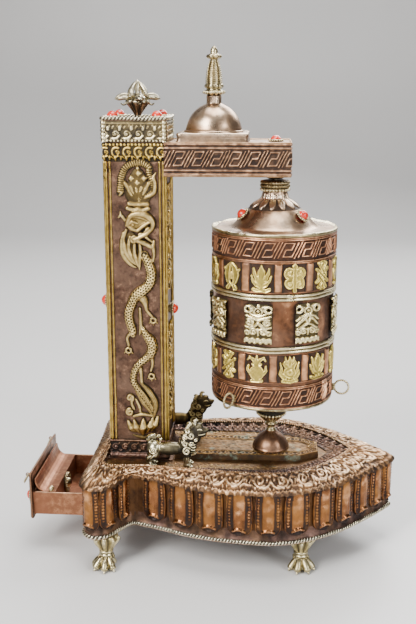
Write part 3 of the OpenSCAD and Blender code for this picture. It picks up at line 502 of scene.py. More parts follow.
def dev_cloud():
    s = [(p, 1.5, 0.8) for p in mir([tuple(q) for q in spiral(3.4, 3.4, 3.1, 0.6, -pi * 0.6, 1.25, 18)])]
    s += [(p, 1.4, 0.7) for p in mir([tuple(q) for q in spiral(3.2, -3.8, 2.9, 0.6, pi * 0.55, -1.25, 18)])]
    s += [([(0, -8), (0, 8)], [0.5, 1.5, 0.5] if False else 1.1, 1.1), ([(0, 7.6), (0, 8.6)], 1.6, 0.8)]
    return s


def dev_vase():
    s = [([(0, -7.4), (0, -2.6), (0, 1.6)], [1.6, 4.4, 1.8], None), ([(-2.8, 2.9), (2.8, 2.9)], 0.85, 0.85)]
    s += [(p, 1.25, 0.5) for p in mir([(0.6, 3.6), (2.2, 6.0), (4.8, 7.6), (6.2, 5.6)])]
    s += [([(0, 3.4), (0, 8.4)], 1.5, 0.5), ([(-3.4, -8.2), (3.4, -8.2)], 1.0, 1.0)]
    s += [(p, 1.1, 0.6) for p in mir([(4.4, -3.2), (6.4, -1.0), (6.2, 1.8)])]
    return s


def dev_flame():
    s = [(arc(0, -2.2, 3.0, 0, 360, 20), 1.15, 1.15), ([(0, -2.2), (0, -2.0)], 1.4, 1.4)]
    s += [(p, 1.5, 0.35) for p in mir([(3.6, -5.8), (6.2, -3.0), (5.4, 0.6), (6.4, 4.4)])]
    s += [(p, 1.4, 0.35) for p in mir([(2.0, 1.8), (3.6, 4.0), (2.4, 6.0), (3.0, 8.2)])]
    s += [([(0, 2.4), (0, 5.0), (0, 8.6)], [1.0, 1.5, 0.3], None), ([(-4.6, -7.8), (0, -8.4), (4.6, -7.8)], 1.1, 1.1)]
    return s


def dev_fish():
    s = [(p, [0.6, 1.7, 2.0, 1.3, 0.4], None) for p in mir([(0.6, 8.0), (2.7, 4.6), (3.9, 0.4), (3.0, -3.8), (1.2, -6.2)])]
    s += [(p, 1.0, 1.3) for p in mir([(1.2, -6.0), (3.4, -8.4)])] + [(p, 1.0, 0.6) for p in mir([(4.4, 2.4), (6.4, 4.2)])]
    s += [([(0, -1.5), (0, 1.5)], 0.9, 0.9)]
    return s


DEV = [dev_lotus(), dev_cloud(), dev_knot(), dev_vase(), dev_flame(), dev_fish()]


def device_h(X, Y, strokes, seed):
    X = X + 0.5 * (vnoise(X / 3, Y / 3, seed) - .5); Y = Y + 0.5 * (vnoise(X / 3 + 9, Y / 3, seed + 1) - .5)
    best = np.full(X.shape, -9.0)
    for st in strokes: best = np.maximum(best, stroke(X, Y, st[0], np.asarray(st[1]) * 1.15 + 0.15, None if st[2] is None else st[2] * 1.15 + 0.15)[0])
    inside = sm(best, -0.05, 0.28)
    h = -0.9 + 1.75 * inside + 0.30 * ridge(best, 0.42, 0.36) - 0.22 * sm(best, 0.75, 1.1)
    c = 0.05 + 0.55 * inside + 0.42 * ridge(best, 0.42, 0.42) + 0.10 * vnoise(X / 0.9, Y / 0.9, seed + 4) * inside
    return h, np.clip(c, 0.02, 1)


mb = MB()
for ph, dc, order in ((PH_U, 27.2, (0, 1, 2, 3, 4, 5)), (PH_L, 88.0, (3, 4, 0, 5, 1, 2))):
    for k in range(12):
        a0 = ph + 30 * k; hw = 8.1 / R; st = DEV[order[k % 6]]
        a = np.linspace(-hw, hw, 48)[None] * np.ones(56)[:, None]; z = np.linspace(-9.7, 9.7, 56)[:, None] * np.ones(48)[None]
        h, c = device_h(a * R * 1.04, z * 0.98, st, k + dc); aa = a + math.radians(a0); rr = R + 0.25 + h
        mb.grid(np.stack([rr * np.sin(aa), -rr * np.cos(aa), ZT - dc + z], -1), c)
mb.build("drum_device_plaques", DRUM, M["plaque"], "yellow_brass", "drum_relief_plaques")


# ---- eight cast emblem plaques: two loops at the top, a device in the middle, a beaded foot
def emblem_h(X, Y, kind):
    X = X + 0.35 * (vnoise(X / 2.4, Y / 2.4, kind + 3) - .5); Y = Y + 0.35 * (vnoise(X / 2.4 + 5, Y / 2.4, kind + 7) - .5)
    ax = np.abs(X)
    hh = np.full(X.shape, -1.2); c = np.full(X.shape, 0.02)
    base = -9.0
    for p, w in (([(0, -9.8), (0, 9.2)], 6.2), ([(4.8, -10.4), (5.2, 6.4)], 3.2), ([(0, 9), (0, 11.2)], 2.8), ([(5.3, 9.4), (5.3, 9.5)], 2.9)):
        base = np.maximum(base, stroke(ax, Y, p, w)[0])
    base = base + 0.45 * (vnoise(ax / 1.5, Y / 1.5, kind) - .5)
    ins = sm(base, -0.1, 0.5); hh = np.where(ins > 0, -1.2 + 2.3 * ins, hh); c = np.maximum(c, 0.05 + 0.15 * ins)
    S = []
    S += [(arc(5.3, 9.4, 1.9, 0, 360, 18), 0.85, 0.85), (arc(0, 8.2, 2.1, 0, 360, 18), 0.62, 0.62), ([(0, 8.2), (0, 8.25)], 0.8, 0.8)]
    S += [([(0, 11.6), (0, 12.3)], 0.9, 0.7), ([(2.2, 10.6), (3.6, 11.6)], 0.6, 0.5)]
    if kind % 4 == 0: S += [([(0, 4.8), (2.4, 5.6), (4.6, 7.0)], 0.9, 0.5), ([(0, 2.6), (3.0, 3.8), (6.2, 5.2)], 0.9, 0.7), (spiral(4.6, 0.8, 2.3, 0.4, 1.2, 1.3), 0.75, 0.6), ([(0, 0.6), (2.0, -1.6), (4.6, -2.6), (6.6, -2.0)], 0.9, 0.6)]
    if kind % 4 == 1: S += [([(0, 6.0), (1.6, 3.4), (0, 0.6)], 0.8, 0.8), ([(1.2, 5.6), (4.0, 4.4), (6.4, 2.0)], 0.9, 0.6), ([(2.2, 3.2), (4.2, 1.4), (6.2, -1.2)], 0.9, 0.6), ([(0, 0.2), (2.6, -1.4), (5.6, -3.4)], 0.9, 0.7)]
    if kind % 4 == 2: S += [(arc(0, 2.4, 3.3, -90, 90, 14), 0.8, 0.8), (arc(0, 2.4, 1.3, -90, 90, 10), 0.8, 0.8), ([(4.2, 5.6), (6.2, 3.0), (6.0, -0.6)], 0.9, 0.5), ([(1.6, -2.4), (4.0, -1.8), (6.4, -3.4)], 0.9, 0.6)]
    if kind % 4 == 3: S += [([(0, 5.4), (2.8, 2.8), (0, 0.2)], 0.8, 0.8), ([(2.6, 5.8), (5.2, 3.2), (2.6, 0.4), (5.4, -2.2)], 0.85, 0.6), ([(6.4, 5.0), (6.6, 0.6)], 0.7, 0.5), ([(0, -1.0), (2.4, -3.0)], 0.9, 0.7)]
    S += [(spiral(2.5, -5.2, 2.2, 0.3, 2.4, -1.3), 0.72, 0.6), (spiral(5.8, -6.2, 1.7, 0.3, 0.2, 1.2), 0.66, 0.5), ([(0, -3.4), (0, -7.4)], 0.8, 0.5)]
    for bx in (0, 2.9, 5.7): S += [([(bx, -10.4), (bx, -10.3)], 1.35, 1.35)]
    for bx in (1.45, 4.3, 7.0): S += [([(bx, -12.0), (bx, -11.95)], 0.85, 0.85)]
    top = np.zeros(X.shape)
    for st in S:
        b, W, _, _ = stroke(ax, Y, st[0], st[1] * 1.22, st[2] * 1.22); top = np.maximum(top, rnd(b, W) / 0.95); ins = np.maximum(ins, sm(b, -0.3, 0.3))
    # open eyes inside the loops: shallow dents painted dark, painted shade standing in for the openings
    eye_shade = sm(1.05 - np.hypot(ax - 5.3, Y - 9.4), 0, 0.4)
    hh = -1.2 + 2.1 * ins + 1.25 * np.clip(top, 0, 1.3); hh = hh - eye_shade * 1.6
    c = 0.02 + 0.20 * ins + 0.74 * sm(top, 0.1, 0.9) - eye_shade * 0.4
    return hh, np.clip(c, 0.01, 1)


mb = MB()
for k in range(8):
    a0 = PH_E + 45 * k; hw = 8.7 / R
    a = np.linspace(-hw, hw, 62)[None] * np.ones(94)[:, None]; z = np.linspace(-13.4, 13.2, 94)[:, None] * np.ones(62)[None]
    h, c = emblem_h(a * R * 0.80, z * 0.97, k); aa = a + math.radians(a0); rr = R + 0.5 + h
    mb.grid(np.stack([rr * np.sin(aa), -rr * np.cos(aa), ZT - 57.4 + z], -1), c)
mb.build("drum_emblem_castings", DRUM, M["emblem"], "pale_brass", "drum_emblem_plaques")

# ---- top cover: flat rim, cone, neck, and a collar of leaves round the neck
pr = [(41.0, ZT - 0.6), (40.4, ZT + 0.1), (38.6, ZT + 0.35), (34.5, ZT + 0.3), (31.2, ZT + 0.5), (29.2, ZT + 0.9), (27.6, ZT + 2.0), (25.6, ZT + 4.2), (23.4, ZT + 6.8), (21.2, ZT + 9.2),
      (19.0, ZT + 11.4), (16.6, ZT + 13.5), (14.2, ZT + 15.2), (12.0, ZT + 16.6), (10.2, ZT + 17.7), (9.0, ZT + 18.7), (8.4, ZT + 19.8), (8.2, ZT + 21.4), (8.2, ZT + 24.0)]
pr = cr(np.array(pr), 6, False)
rs = pr[:, 0][:, None]


def leaf(i, th, r, z):
    s = np.arange(len(pr))[:, None] * np.ones_like(th)
    n = 13; u = (th * n / (2 * pi)) % 1 - .5; t = np.clip((17.2 - r) / (17.2 - 8.6), 0, 1)          # 0 at the leaf tips, 1 at the neck
    w = 0.46 * np.sqrt(np.clip(t * 1.9, 0, 1)) * (0.8 + 0.2 * t)
    m = sm(w - np.abs(u), 0, 0.10) * (t > 0) * sm(24.0 - (z - ZT), 0, 3.5)
    vein = 0.35 * sm(0.05 - np.abs(u), 0, 0.05)
    h = m * (1.15 * np.sin(np.clip(t, 0, 1) ** 0.6 * pi * .62) + 0.1) - vein * m
    h = h + 0.25 * (vnoise(th * 5, z / 6, 31) - .5) * (r > 17)
    leaf.m = m; leaf.v = vein
    return h * 0.62, h * 0.62


def leaf_att(r, th, z):
    m = leaf.m
    rim = (r > 30)
    c = 0.62 + 0.3 * (vnoise(th * 4, z / 5, 5) - .35)
    c = np.where(rim, 0.42 + 0.3 * vnoise(th * 9, r / 4, 8), c)
    c = np.where((r < 17.6), 0.10 + 0.78 * m - 0.5 * leaf.v, c)
    c = np.where(r < 8.6, 0.6, c)
    return np.clip(c, 0.03, 1)


mb = MB(); mb.lathe(pr[::-1] if False else pr, 240, fn=leaf, att=leaf_att)
mb.build("drum_domed_cover", DRUM, M["dome"], "rim_copper", "drum_top_cover")

# ---- neck collar: rope ring over a bead ring
mb = MB()
mb.lathe([(8.2, ZT + 23.9), (8.8, ZT + 24.0), (8.9, ZT + 26.2), (8.4, ZT + 26.6), (8.4, ZT + 30.2), (8.0, ZT + 31.3), (4.3, ZT + 31.4), (4.3, ZT + 29.0)], 96, a=0.3)
for k in range(26):
    a = 2 * pi * k / 26; mb.ball((9.2 * math.cos(a), 9.2 * math.sin(a), ZT + 25.2), 1.12, 8, 6, a=0.85)
th = np.linspace(0, 2 * pi, 181)[:-1]
for zz, rr_, nn_ in ((ZT + 27.7, 9.0, 30), (ZT + 29.9, 8.9, 30)):
    mb.tube(np.stack([rr_ * np.cos(th), rr_ * np.sin(th), zz + 0 * th], -1), 1.05, 12, closed=True, a=0.62,
            prof=lambda i, t, nn_=nn_: 1 + 0.2 * np.cos(2 * (t) + i * 2 * pi * nn_ / 180))
mb.build("drum_rope_collar", DRUM, M["pale"], "pale_brass", "drum_collar")

# ---- corals on the dome, each in a beaded setting
mg, mc = MB(), MB()


def setting(mg, mc, c, nrm, rad, beads=18, hgt=2.6):
    n = np.array(nrm, float); n /= np.linalg.norm(n); u = np.cross(n, [0, 0, 1.0]);
    if np.linalg.norm(u) < 1e-3: u = np.array([1.0, 0, 0])
    u /= np.linalg.norm(u); v = np.cross(n, u); c = np.array(c, float)
    th = np.linspace(0, 2 * pi, 37)[:-1]
    ring = lambda r, h: c + r * (u * np.cos(th)[:, None] + v * np.sin(th)[:, None]) + n * h
    pr_ = [(rad * 1.22, -0.3), (rad * 1.24, 0.35), (rad * 1.12, 0.75), (rad * 1.05, 1.15), (rad * 0.99, 1.3), (rad * 0.93, 0.9)]
    mc.grid(np.stack([ring(r, h) for r, h in pr_]), np.array([0.2, 0.3, 0.35, 0.8, 0.9, 0.5])[:, None] * np.ones(36), cu=True, flip=True)
    for k in range(beads):
        a = 2 * pi * k / beads; mc.ball(c + rad * 1.2 * (u * math.cos(a) + v * math.sin(a)) + n * 0.55, rad * 0.16, 6, 5, a=0.85)
    ph = np.linspace(0, pi / 2, 9)
    mg.grid(np.stack([ring(rad * 0.98 * math.cos(p) + 1e-3, 0.5 + hgt * math.sin(p)) for p in ph]), 1.0, cu=True, flip=True)


for a in (-67, 53, 173):
    t = math.radians(a - 90); d = np.array([math.cos(t), math.sin(t)])
    setting(mg, mc, (d[0] * 22.8, d[1] * 22.8, ZT + 9.2), (d[0] * 0.72, d[1] * 0.72, 0.69), 3.7, hgt=3.4)
mg.build("drum_coral_stones", DRUM, M["coral"], "coral", "drum_corals", recalc=True)
mc.build("drum_coral_settings", DRUM, M["pale"], "pale_brass", recalc=True)

# ---- tassel rings: beaded wire, with a soldered staple
mb = MB()
for a in (-36, 84, 204):
    t = math.radians(a - 90); d = np.array([math.cos(t), math.sin(t), 0]); c = d * (R + 7.4) + np.array([0, 0, ZB + 6.0])
    th = np.linspace(0, 2 * pi, 121)[:-1]
    P = c + 4.9 * (d * np.cos(th)[:, None] + np.array([0, 0, 1.0]) * np.sin(th)[:, None])
    mb.tube(P, 0.72, 10, closed=True, a=0.75, prof=lambda i, t: 1 + 0.24 * np.cos(i * 2 * pi * 22 / 120) + 0 * t, up=tuple(np.cross(d, [0, 0, 1.0])))
    for dz in (-1.6, 0, 1.6): mb.ball(d * (R + 1.4) + np.array([0, 0, ZB + 6 + dz]), (1.5, 1.5, 1.1), 10, 7, a=0.5)
mb.build("tassel_ring_wires", DRUM, M["pale"], "pale_brass", "drum_tassel_rings")
print("drum done")

# ================================================================== BASE
ST = "stand"
HO = [[-126.5, 0], [-126.5, -28], [-127.5, -50], [-126.5, -61], [-120, -68], [-111, -68.5], [-103.5, -62], [-98, -52.5], [-93.5, -46.3], [-87, -47.5], [-73, -52.8], [-54, -60.8], [-31, -66.3], [-5, -69], [12, -67], [28, -60.5], [40, -53], [53, -42.5], [69.5, -25], [83, -9], [88, 0]]
HC = [[-115, 0], [-115, -20], [-115, -33], [-114, -37], [-112.5, -39.5], [-109, -41], [-103, -41], [-97, -40.8], [-91, -40.4], [-85, -40.3], [-71, -41.8], [-52, -44.5], [-30, -47], [-6, -48.6], [8, -47.4], [20, -42.5], [29, -36], [37, -28.5], [47, -16.5], [54, -5.5], [56.5, 0]]
HG = [[-114, 0], [-114, -19], [-114, -31.5], [-113, -35], [-111.5, -37], [-108.5, -38.3], [-103, -38], [-97, -37.6], [-91, -37], [-85, -36.5], [-70, -36], [-50, -35.5], [-29, -35.5], [-6, -35], [5, -33.5], [14, -30], [21, -25], [27.5, -19.5], [34.5, -10.5], [39, -3], [40, 0]]


def loop(h): return np.array(h + [[p[0], -p[1]] for p in h[-2:0:-1]], float)


FN = 30
LO, LC, LG = [cr(loop(h), FN, True) for h in (HO, HC, HG)]


def cum(P): return np.concatenate([[0], np.cumsum(np.linalg.norm(np.roll(P, -1, 0) - P, axis=1))])


def resample(ref, n, *Ls):
    s = cum(ref); t = np.linspace(0, s[-1], n, endpoint=False); k = np.interp(t, s, np.arange(len(s)))
    out = []
    for L in Ls:
        Lc = np.concatenate([L, L[:1]]); out.append(np.stack([np.interp(k, np.arange(len(Lc)), Lc[:, j]) for j in (0, 1)], -1))
    return t, s[-1], out


def nrm2(P):
    T = np.roll(P, -1, 0) - np.roll(P, 1, 0); T /= np.linalg.norm(T, axis=1, keepdims=True)
    return np.stack([T[:, 1], -T[:, 0]], -1)


nn_ = nrm2(LO); LW = LO - 4 * (-nn_ if (nn_[0] @ [-1, 0]) < 0 else nn_)
SGN = 1.0 if (nrm2(LO)[0] @ [-1, 0]) > 0 else -1.0


def surf_normals(P, closed_u=True):
    du = (np.roll(P, -1, 1) - np.roll(P, 1, 1)) if closed_u else np.gradient(P, axis=1)
    dv = np.gradient(P, axis=0); n = np.cross(du, dv); n /= np.maximum(np.linalg.norm(n, axis=2, keepdims=True), 1e-9)
    return n


def sheet(mb, P, h, c, closed_u=True, out=None):
    n = surf_normals(P, closed_u)
    ref = np.array([0, 0, 1.0]) if out is None else out
    sg = np.where((n * ref).sum(2).mean() < 0, -1.0, 1.0)
    mb.grid(P + n * sg * h[..., None], c, cu=closed_u, flip=bool(sg < 0))


# ---- the repousse rim
NU = 1560
S, PER, (o_, c_, g_) = resample((LO + LC) / 2, NU, LO, LC, LG)
wid = np.linalg.norm(o_ - c_, axis=1)
NVR = 50
tt = np.linspace(0, 1, NVR)
ts = [0.0, 0.012, 0.05, 0.2, 0.5, 0.8, 0.93, 1.0]; hs = [Z1 - 0.5, Z1 + 0.6, Z1 + 1.3, Z1 + 3.1, Z1 + 5.5, ZC - 0.35, ZC + 0.05, ZC - 0.3]
zz = np.interp(tt, ts, hs)
P = o_[None] * (1 - tt[:, None, None]) + c_[None] * tt[:, None, None]
P = np.concatenate([P, zz[:, None, None] * np.ones((1, NU, 1))], 2)
SS = S[None] * np.ones((NVR, 1)); VV = tt[:, None] * np.ones((1, NU)); WW = wid[None] * np.ones((NVR, 1))
SS = SS + 1.6 * (vnoise(SS / 9, VV * 3, 61) - .5); Y = VV * 16 + 1.5 * (vnoise(SS / 7, VV * 3, 63) - .5)
nun = round(PER / 15.0); pit = PER / nun; k = np.floor(SS / pit); X = SS - k * pit
flip = (np.mod(k, 2) == 0); X2 = np.where(flip, X, pit - X)
best = np.zeros(X.shape)
def put(pts, w0, w1=None, amp=1.0, XX=None):
    global best
    b, W, _, _ = stroke(X2 if XX is None else XX, Y, pts, w0, w1); best = np.maximum(best, amp * rnd(b, W) / np.maximum(np.max(w0), 0.6))
put(spiral(7.4, 8.7, 4.3, 0.7, -2.4, 1.55, 30), 1.05, 0.95)
put([(0.0, 9.0), (1.4, 5.6), (4.2, 3.9), (7.6, 4.0)], 1.0, 1.0)
put([(11.7, 8.2), (13.6, 11.0), (15, 12.6)], 1.1, 0.8)
put([(0, 12.8), (2.2, 14.0), (4.6, 13.2), (5.6, 11.9)], 0.9, 0.6)
put([(10.2, 4.0), (12.6, 5.6), (15.0, 5.2)], 0.95, 0.6)
put([(12.0, 1.6), (12.4, 3.2)], 1.0, 0.6); put([(1.2, 3.2), (2.6, 6.4)], 0.8, 0.5)
put([(8.6, 13.6), (11.0, 14.4), (13.2, 13.6)], 0.8, 0.5); put([(2.4, 9.4), (2.0, 11.2)], 0.85, 0.6); put([(13.4, 8.6), (13.8, 6.8)], 0.8, 0.6)
Xe = np.mod(SS, PER / round(PER / 4.6)); pe = PER / round(PER / 4.6)
for pts in ([(0, 1.9), (pe / 2, 0.6), (pe, 1.9)],): put(pts, 0.55, 0.55, 0.7, Xe)
put([(pe / 2, 1.6), (pe / 2, 2.4)], 0.7, 0.5, 0.8, Xe)
best = np.maximum(best, 0.9 * ridge(Y, 15.6, 0.8) * (0.75 + 0.25 * np.cos(SS * 2 * pi / 1.7)))
px, py = P[..., 0], P[..., 1]
# slanted gadroons along the short left side and round the corner lobe
gm = sm(-(px + 117.5), -1.5, 2.0) * sm(15.3 - Y, 0, 1.0)
gad = np.abs(np.sin(pi * (S[None] - 0.30 * VV * 12) / 3.9)) ** 0.8 * (0.5 + 0.5 * sm(Y, 0.6, 3)) * (0.8 + 0.35 * vnoise(SS / 3, VV * 5, 77))
best = best * (1 - gm) + gm * gad * 0.95
rough = vnoise(SS / 1.3, VV * 12, 71) - .5
h = 1.25 * best + 0.22 * rough - 0.25 + 0.5 * (vnoise(SS / 22, VV * 1.5, 79) - .5)
cav = 0.30 + 0.60 * best + 0.28 * rough + 0.18 * (vnoise(SS / 30, VV, 83) - .5)
# the vent hole is only a shallow dimple painted dark: painted shade stands in for the opening
hole_shade = np.exp(-((px + 104) ** 2 + (py + 39.3) ** 2) / 1.5); h = h - 2.2 * hole_shade; cav = cav - 1.4 * hole_shade
ev = np.clip(1 - VV / 0.06, 0, 1)
P[..., 2] += ev * 0.32 * np.cos(SS * 2 * pi / pe) + ev * 0.8 * (vnoise(SS / 15, 0 * SS, 85) - .5)
mb = MB(); sheet(mb, P, h, np.clip(cav, 0.03, 1))
# under-lip so the edge has thickness
und = np.stack([np.concatenate([(o_ - SGN * nrm2(o_) * d), np.full((NU, 1), z_)], 1) for d, z_ in ((0.0, Z1 - 0.35), (0.8, Z1 - 0.5), (2.6, Z1 - 0.25), (4.6, Z1 + 0.1))])
und[0] = P[0] + (surf_normals(P)[0] * 0)
mb.grid(und, 0.28, cu=True)
mb.build("rim_repousse", ST, M["rim"], "rim_copper", "base_rim", recalc=True)

# ---- sloping pierced gallery with a beaded crest edge
NVG = 34
tt = np.linspace(0, 1, NVG); c4_ = c_ * 0.96 + g_ * 0.04
P = c4_[None] * (1 - tt[:, None, None]) + g_[None] * tt[:, None, None]
zz = (ZC - 1.2) + (ZD + 0.6 - ZC + 1.2) * tt
P = np.concatenate([P, zz[:, None, None] * np.ones((1, NU, 1))], 2)
Sg = cum(np.concatenate([c4_]))[:NU]; Lg = cum(c4_)[-1]; SS = Sg[None] * np.ones((NVG, 1)); W = np.linalg.norm(c4_ - g_, axis=1)[None] * np.ones((NVG, 1))
Wc = np.maximum(W, 3.6); V = tt[:, None] * Wc
ph = Lg / round(Lg / 8.2); X = np.mod(SS, ph) - ph / 2
b1, _, _, _ = stroke(X, V, [(0, 0.9), (0, 3.4)], 0.35, 1.65)
# the piercings are shallow dents in two rows, not openings
hole_shade = sm(b1, -0.1, 0.35) * (W > 3.0)
X3 = np.mod(SS + ph / 2, ph) - ph / 2
b2, w2, _, _ = stroke(X3, V, [(0, 1.6), (0, 4.6)], 1.0, 0.5); b3, w3, _, _ = stroke(np.abs(X), V, arc(1.9, 6.4, 1.7, 150, 420, 14), 0.55, 0.5)
b4, w4, _, _ = stroke(np.mod(SS, ph / 2) - ph / 4, V, [(0, 9.8), (0, 10.6)], 1.1, 0.7)
b5, _, _, _ = stroke(X3, V, [(0, 6.3), (0, 7.0)], 0.5, 0.75); hole2_shade = sm(b5, -0.1, 0.3) * (W > 8) * 0.9
h = 0.9 * np.maximum.reduce([rnd(b2, w2), rnd(b3, w3) * 1.2, rnd(b4, w4) * 0.8]) * (1 - hole_shade) + 0.25 * (vnoise(SS / 1.2, V / 1.2, 91) - .5)
cav = 0.34 + 0.55 * h + 0.25 * (vnoise(SS / 2, V / 2, 93) - .5)
# painted shade: the dents of both rows are darkened towards black so they read as holes
cav = np.where(hole_shade + hole2_shade > 0.15, cav * (1 - np.minimum(1, 1.4 * (hole_shade + hole2_shade))), cav); h = h - 1.1 * hole_shade - 0.8 * hole2_shade
# painted shadow: the strip fades to black just under the crest
cav = cav * sm(V, 0.0, 0.7)
mb = MB(); sheet(mb, P, h, np.clip(cav, 0.0, 1))
# riser below the crest, coloured a flat dark 0.12 as painted shadow under the crest
ris = np.stack([np.concatenate([a * (1 - k) + g_ * k, np.full((NU, 1), z_)], 1) for a, k, z_ in ((c_, 0.0, ZC - 0.4), (c_, 0.03, ZC - 0.9), (c_, 0.05, ZC - 1.4))])
mb.grid(ris, 0.12, cu=True, flip=True)
mb.build("gallery_pierced_strip", ST, M["gallery"], "rim_copper", "pierced_gallery", recalc=True)
mb = MB()
nb = int(Lg / 1.75); t_, _, (cb, gb) = resample(c_, nb, c_, g_)
for i in range(nb):
    mb.ball((cb[i, 0] * .97 + gb[i, 0] * .03, cb[i, 1] * .97 + gb[i, 1] * .03, ZC - 0.25 + 0.12 * (hsh(i, 0, 3) - .5)), 0.72, 6, 5, a=0.7 + 0.3 * hsh(i, 0, 5))
mb.build("crest_beading", ST, M["rim"], "rim_copper")

# ---- embossed deck inside the gallery
NVD = 60
tt = np.linspace(0, 1, NVD) ** 1.0; tq, _, (gd,) = resample(LG, 760, LG)
sp = np.stack([np.clip(gd[:, 0], -92, 12), 0 * gd[:, 1]], -1)
P = gd[None] * (1 - tt[:, None, None]) + sp[None] * tt[:, None, None]; x, y = P[..., 0], P[..., 1]


def emboss(x, y, sd):
    a = np.zeros(x.shape); ay = np.abs(y)
    for y0, p in ((33.0, 5.2), (27.4, 6.4)):
        u = np.mod(x + 0.5 * vnoise(x / 5, y / 5, sd), p) - p / 2; b, w_, _, _ = stroke(np.abs(u), ay - y0, arc(0.1, 0, 1.7, -160, 160, 12), 0.5, 0.45)
        a = np.maximum(a, rnd(b, w_) * 1.7); a = np.maximum(a, 0.8 * ridge(ay, y0 + 2.7, 0.5))
    return a


em = emboss(x, y, 4.0); rn = vnoise(x / 1.4, y / 1.4, 12) - .5
h = 0.45 * em + 0.3 * rn; cav = 0.32 + 0.5 * em + 0.35 * rn + 0.3 * (vnoise(x / 14, y / 9, 14) - .5)
P = np.concatenate([P, np.full(P.shape[:2] + (1,), ZD - 0.1)], 2); P[..., 2] += h
keep_r = np.hypot(P[..., 0], P[..., 1])
mb = MB(); mb.grid(P, np.clip(cav, 0.05, 1), cu=True, flip=True)
mb.build("deck_embossed", ST, M["plat"], "deck_copper", recalc=False)

# ---- raised bearing platform with a leaf border
OUTL = np.array([[-67, -19], [20, -17], [33.5, -8.4], [33.5, 8.4], [20, 17], [-67, 19]], float)
seg = []
for i in range(6):
    a, b = OUTL[i], OUTL[(i + 1) % 6]; m = max(2, int(np.linalg.norm(b - a) / 0.55)); seg.append(a + (b - a) * np.linspace(0, 1, m, endpoint=False)[:, None])
ol = np.concatenate(seg); NP = len(ol); so = cum(ol)[:NP]
spn = np.stack([np.clip(ol[:, 0], -58, 24), 0 * ol[:, 1]], -1)
rows = []; hh = []; cc = []
for k, (t, z_, kind) in enumerate([(0, ZD + 0.1, 0), (0, ZP - 1.0, 0), (0.02, ZP - 0.35, 0)] + [(t, ZP - 0.3, 1) for t in np.linspace(0.035, 1.0, 60)]):
    p = ol * (1 - t) + spn * t; d = np.linalg.norm(p - ol, axis=1)
    if kind == 0: rows.append(np.concatenate([p, np.full((NP, 1), z_)], 1)); cc.append(np.full(NP, 0.22)); continue
    pp = 5.6; u = np.mod(so, pp) - pp / 2; Y = d
    b, w_, _, _ = stroke(np.abs(u), Y, [(0.0, 1.4), (1.6, 3.0), (1.2, 5.0), (0, 5.6)], 0.55, 0.45)
    a = np.maximum.reduce([rnd(b, w_) * 1.6, 0.9 * ridge(Y, 0.9, 0.5), 0.9 * ridge(Y, 6.6, 0.5), 0.55 * ridge(Y, 8.2, 0.4)])
    rn = vnoise(p[:, 0] / 1.5, p[:, 1] / 1.5, 17) - .5
    z_ = z_ + 0.45 * a + 0.2 * rn
    rows.append(np.concatenate([p, z_[:, None]], 1)); cc.append(np.where(Y < 7.2, 0.26 + 0.6 * a + 0.25 * rn, 0.5 + 0.3 * rn))
mb = MB(); mb.grid(np.stack(rows), np.clip(np.stack(cc), 0.05, 1), cu=True, flip=True)
mb.build("bearing_platform_embossed", ST, M["plat"], "deck_copper", "bearing_platform", recalc=False)

# ---- lotus petals
cw = cum(LW); wc = np.concatenate([LW, LW[:1]]); nW = SGN * nrm2(LW); nWc = np.concatenate([nW, nW[:1]])


def wall_at(s):
    k = np.interp(np.mod(s, cw[-1]), cw, np.arange(len(cw)))
    f = lambda A: np.stack([np.interp(k, np.arange(len(A)), A[:, j]) for j in (0, 1)], -1)
    n = f(nWc); return f(wc), n / np.linalg.norm(n, axis=-1, keepdims=True)


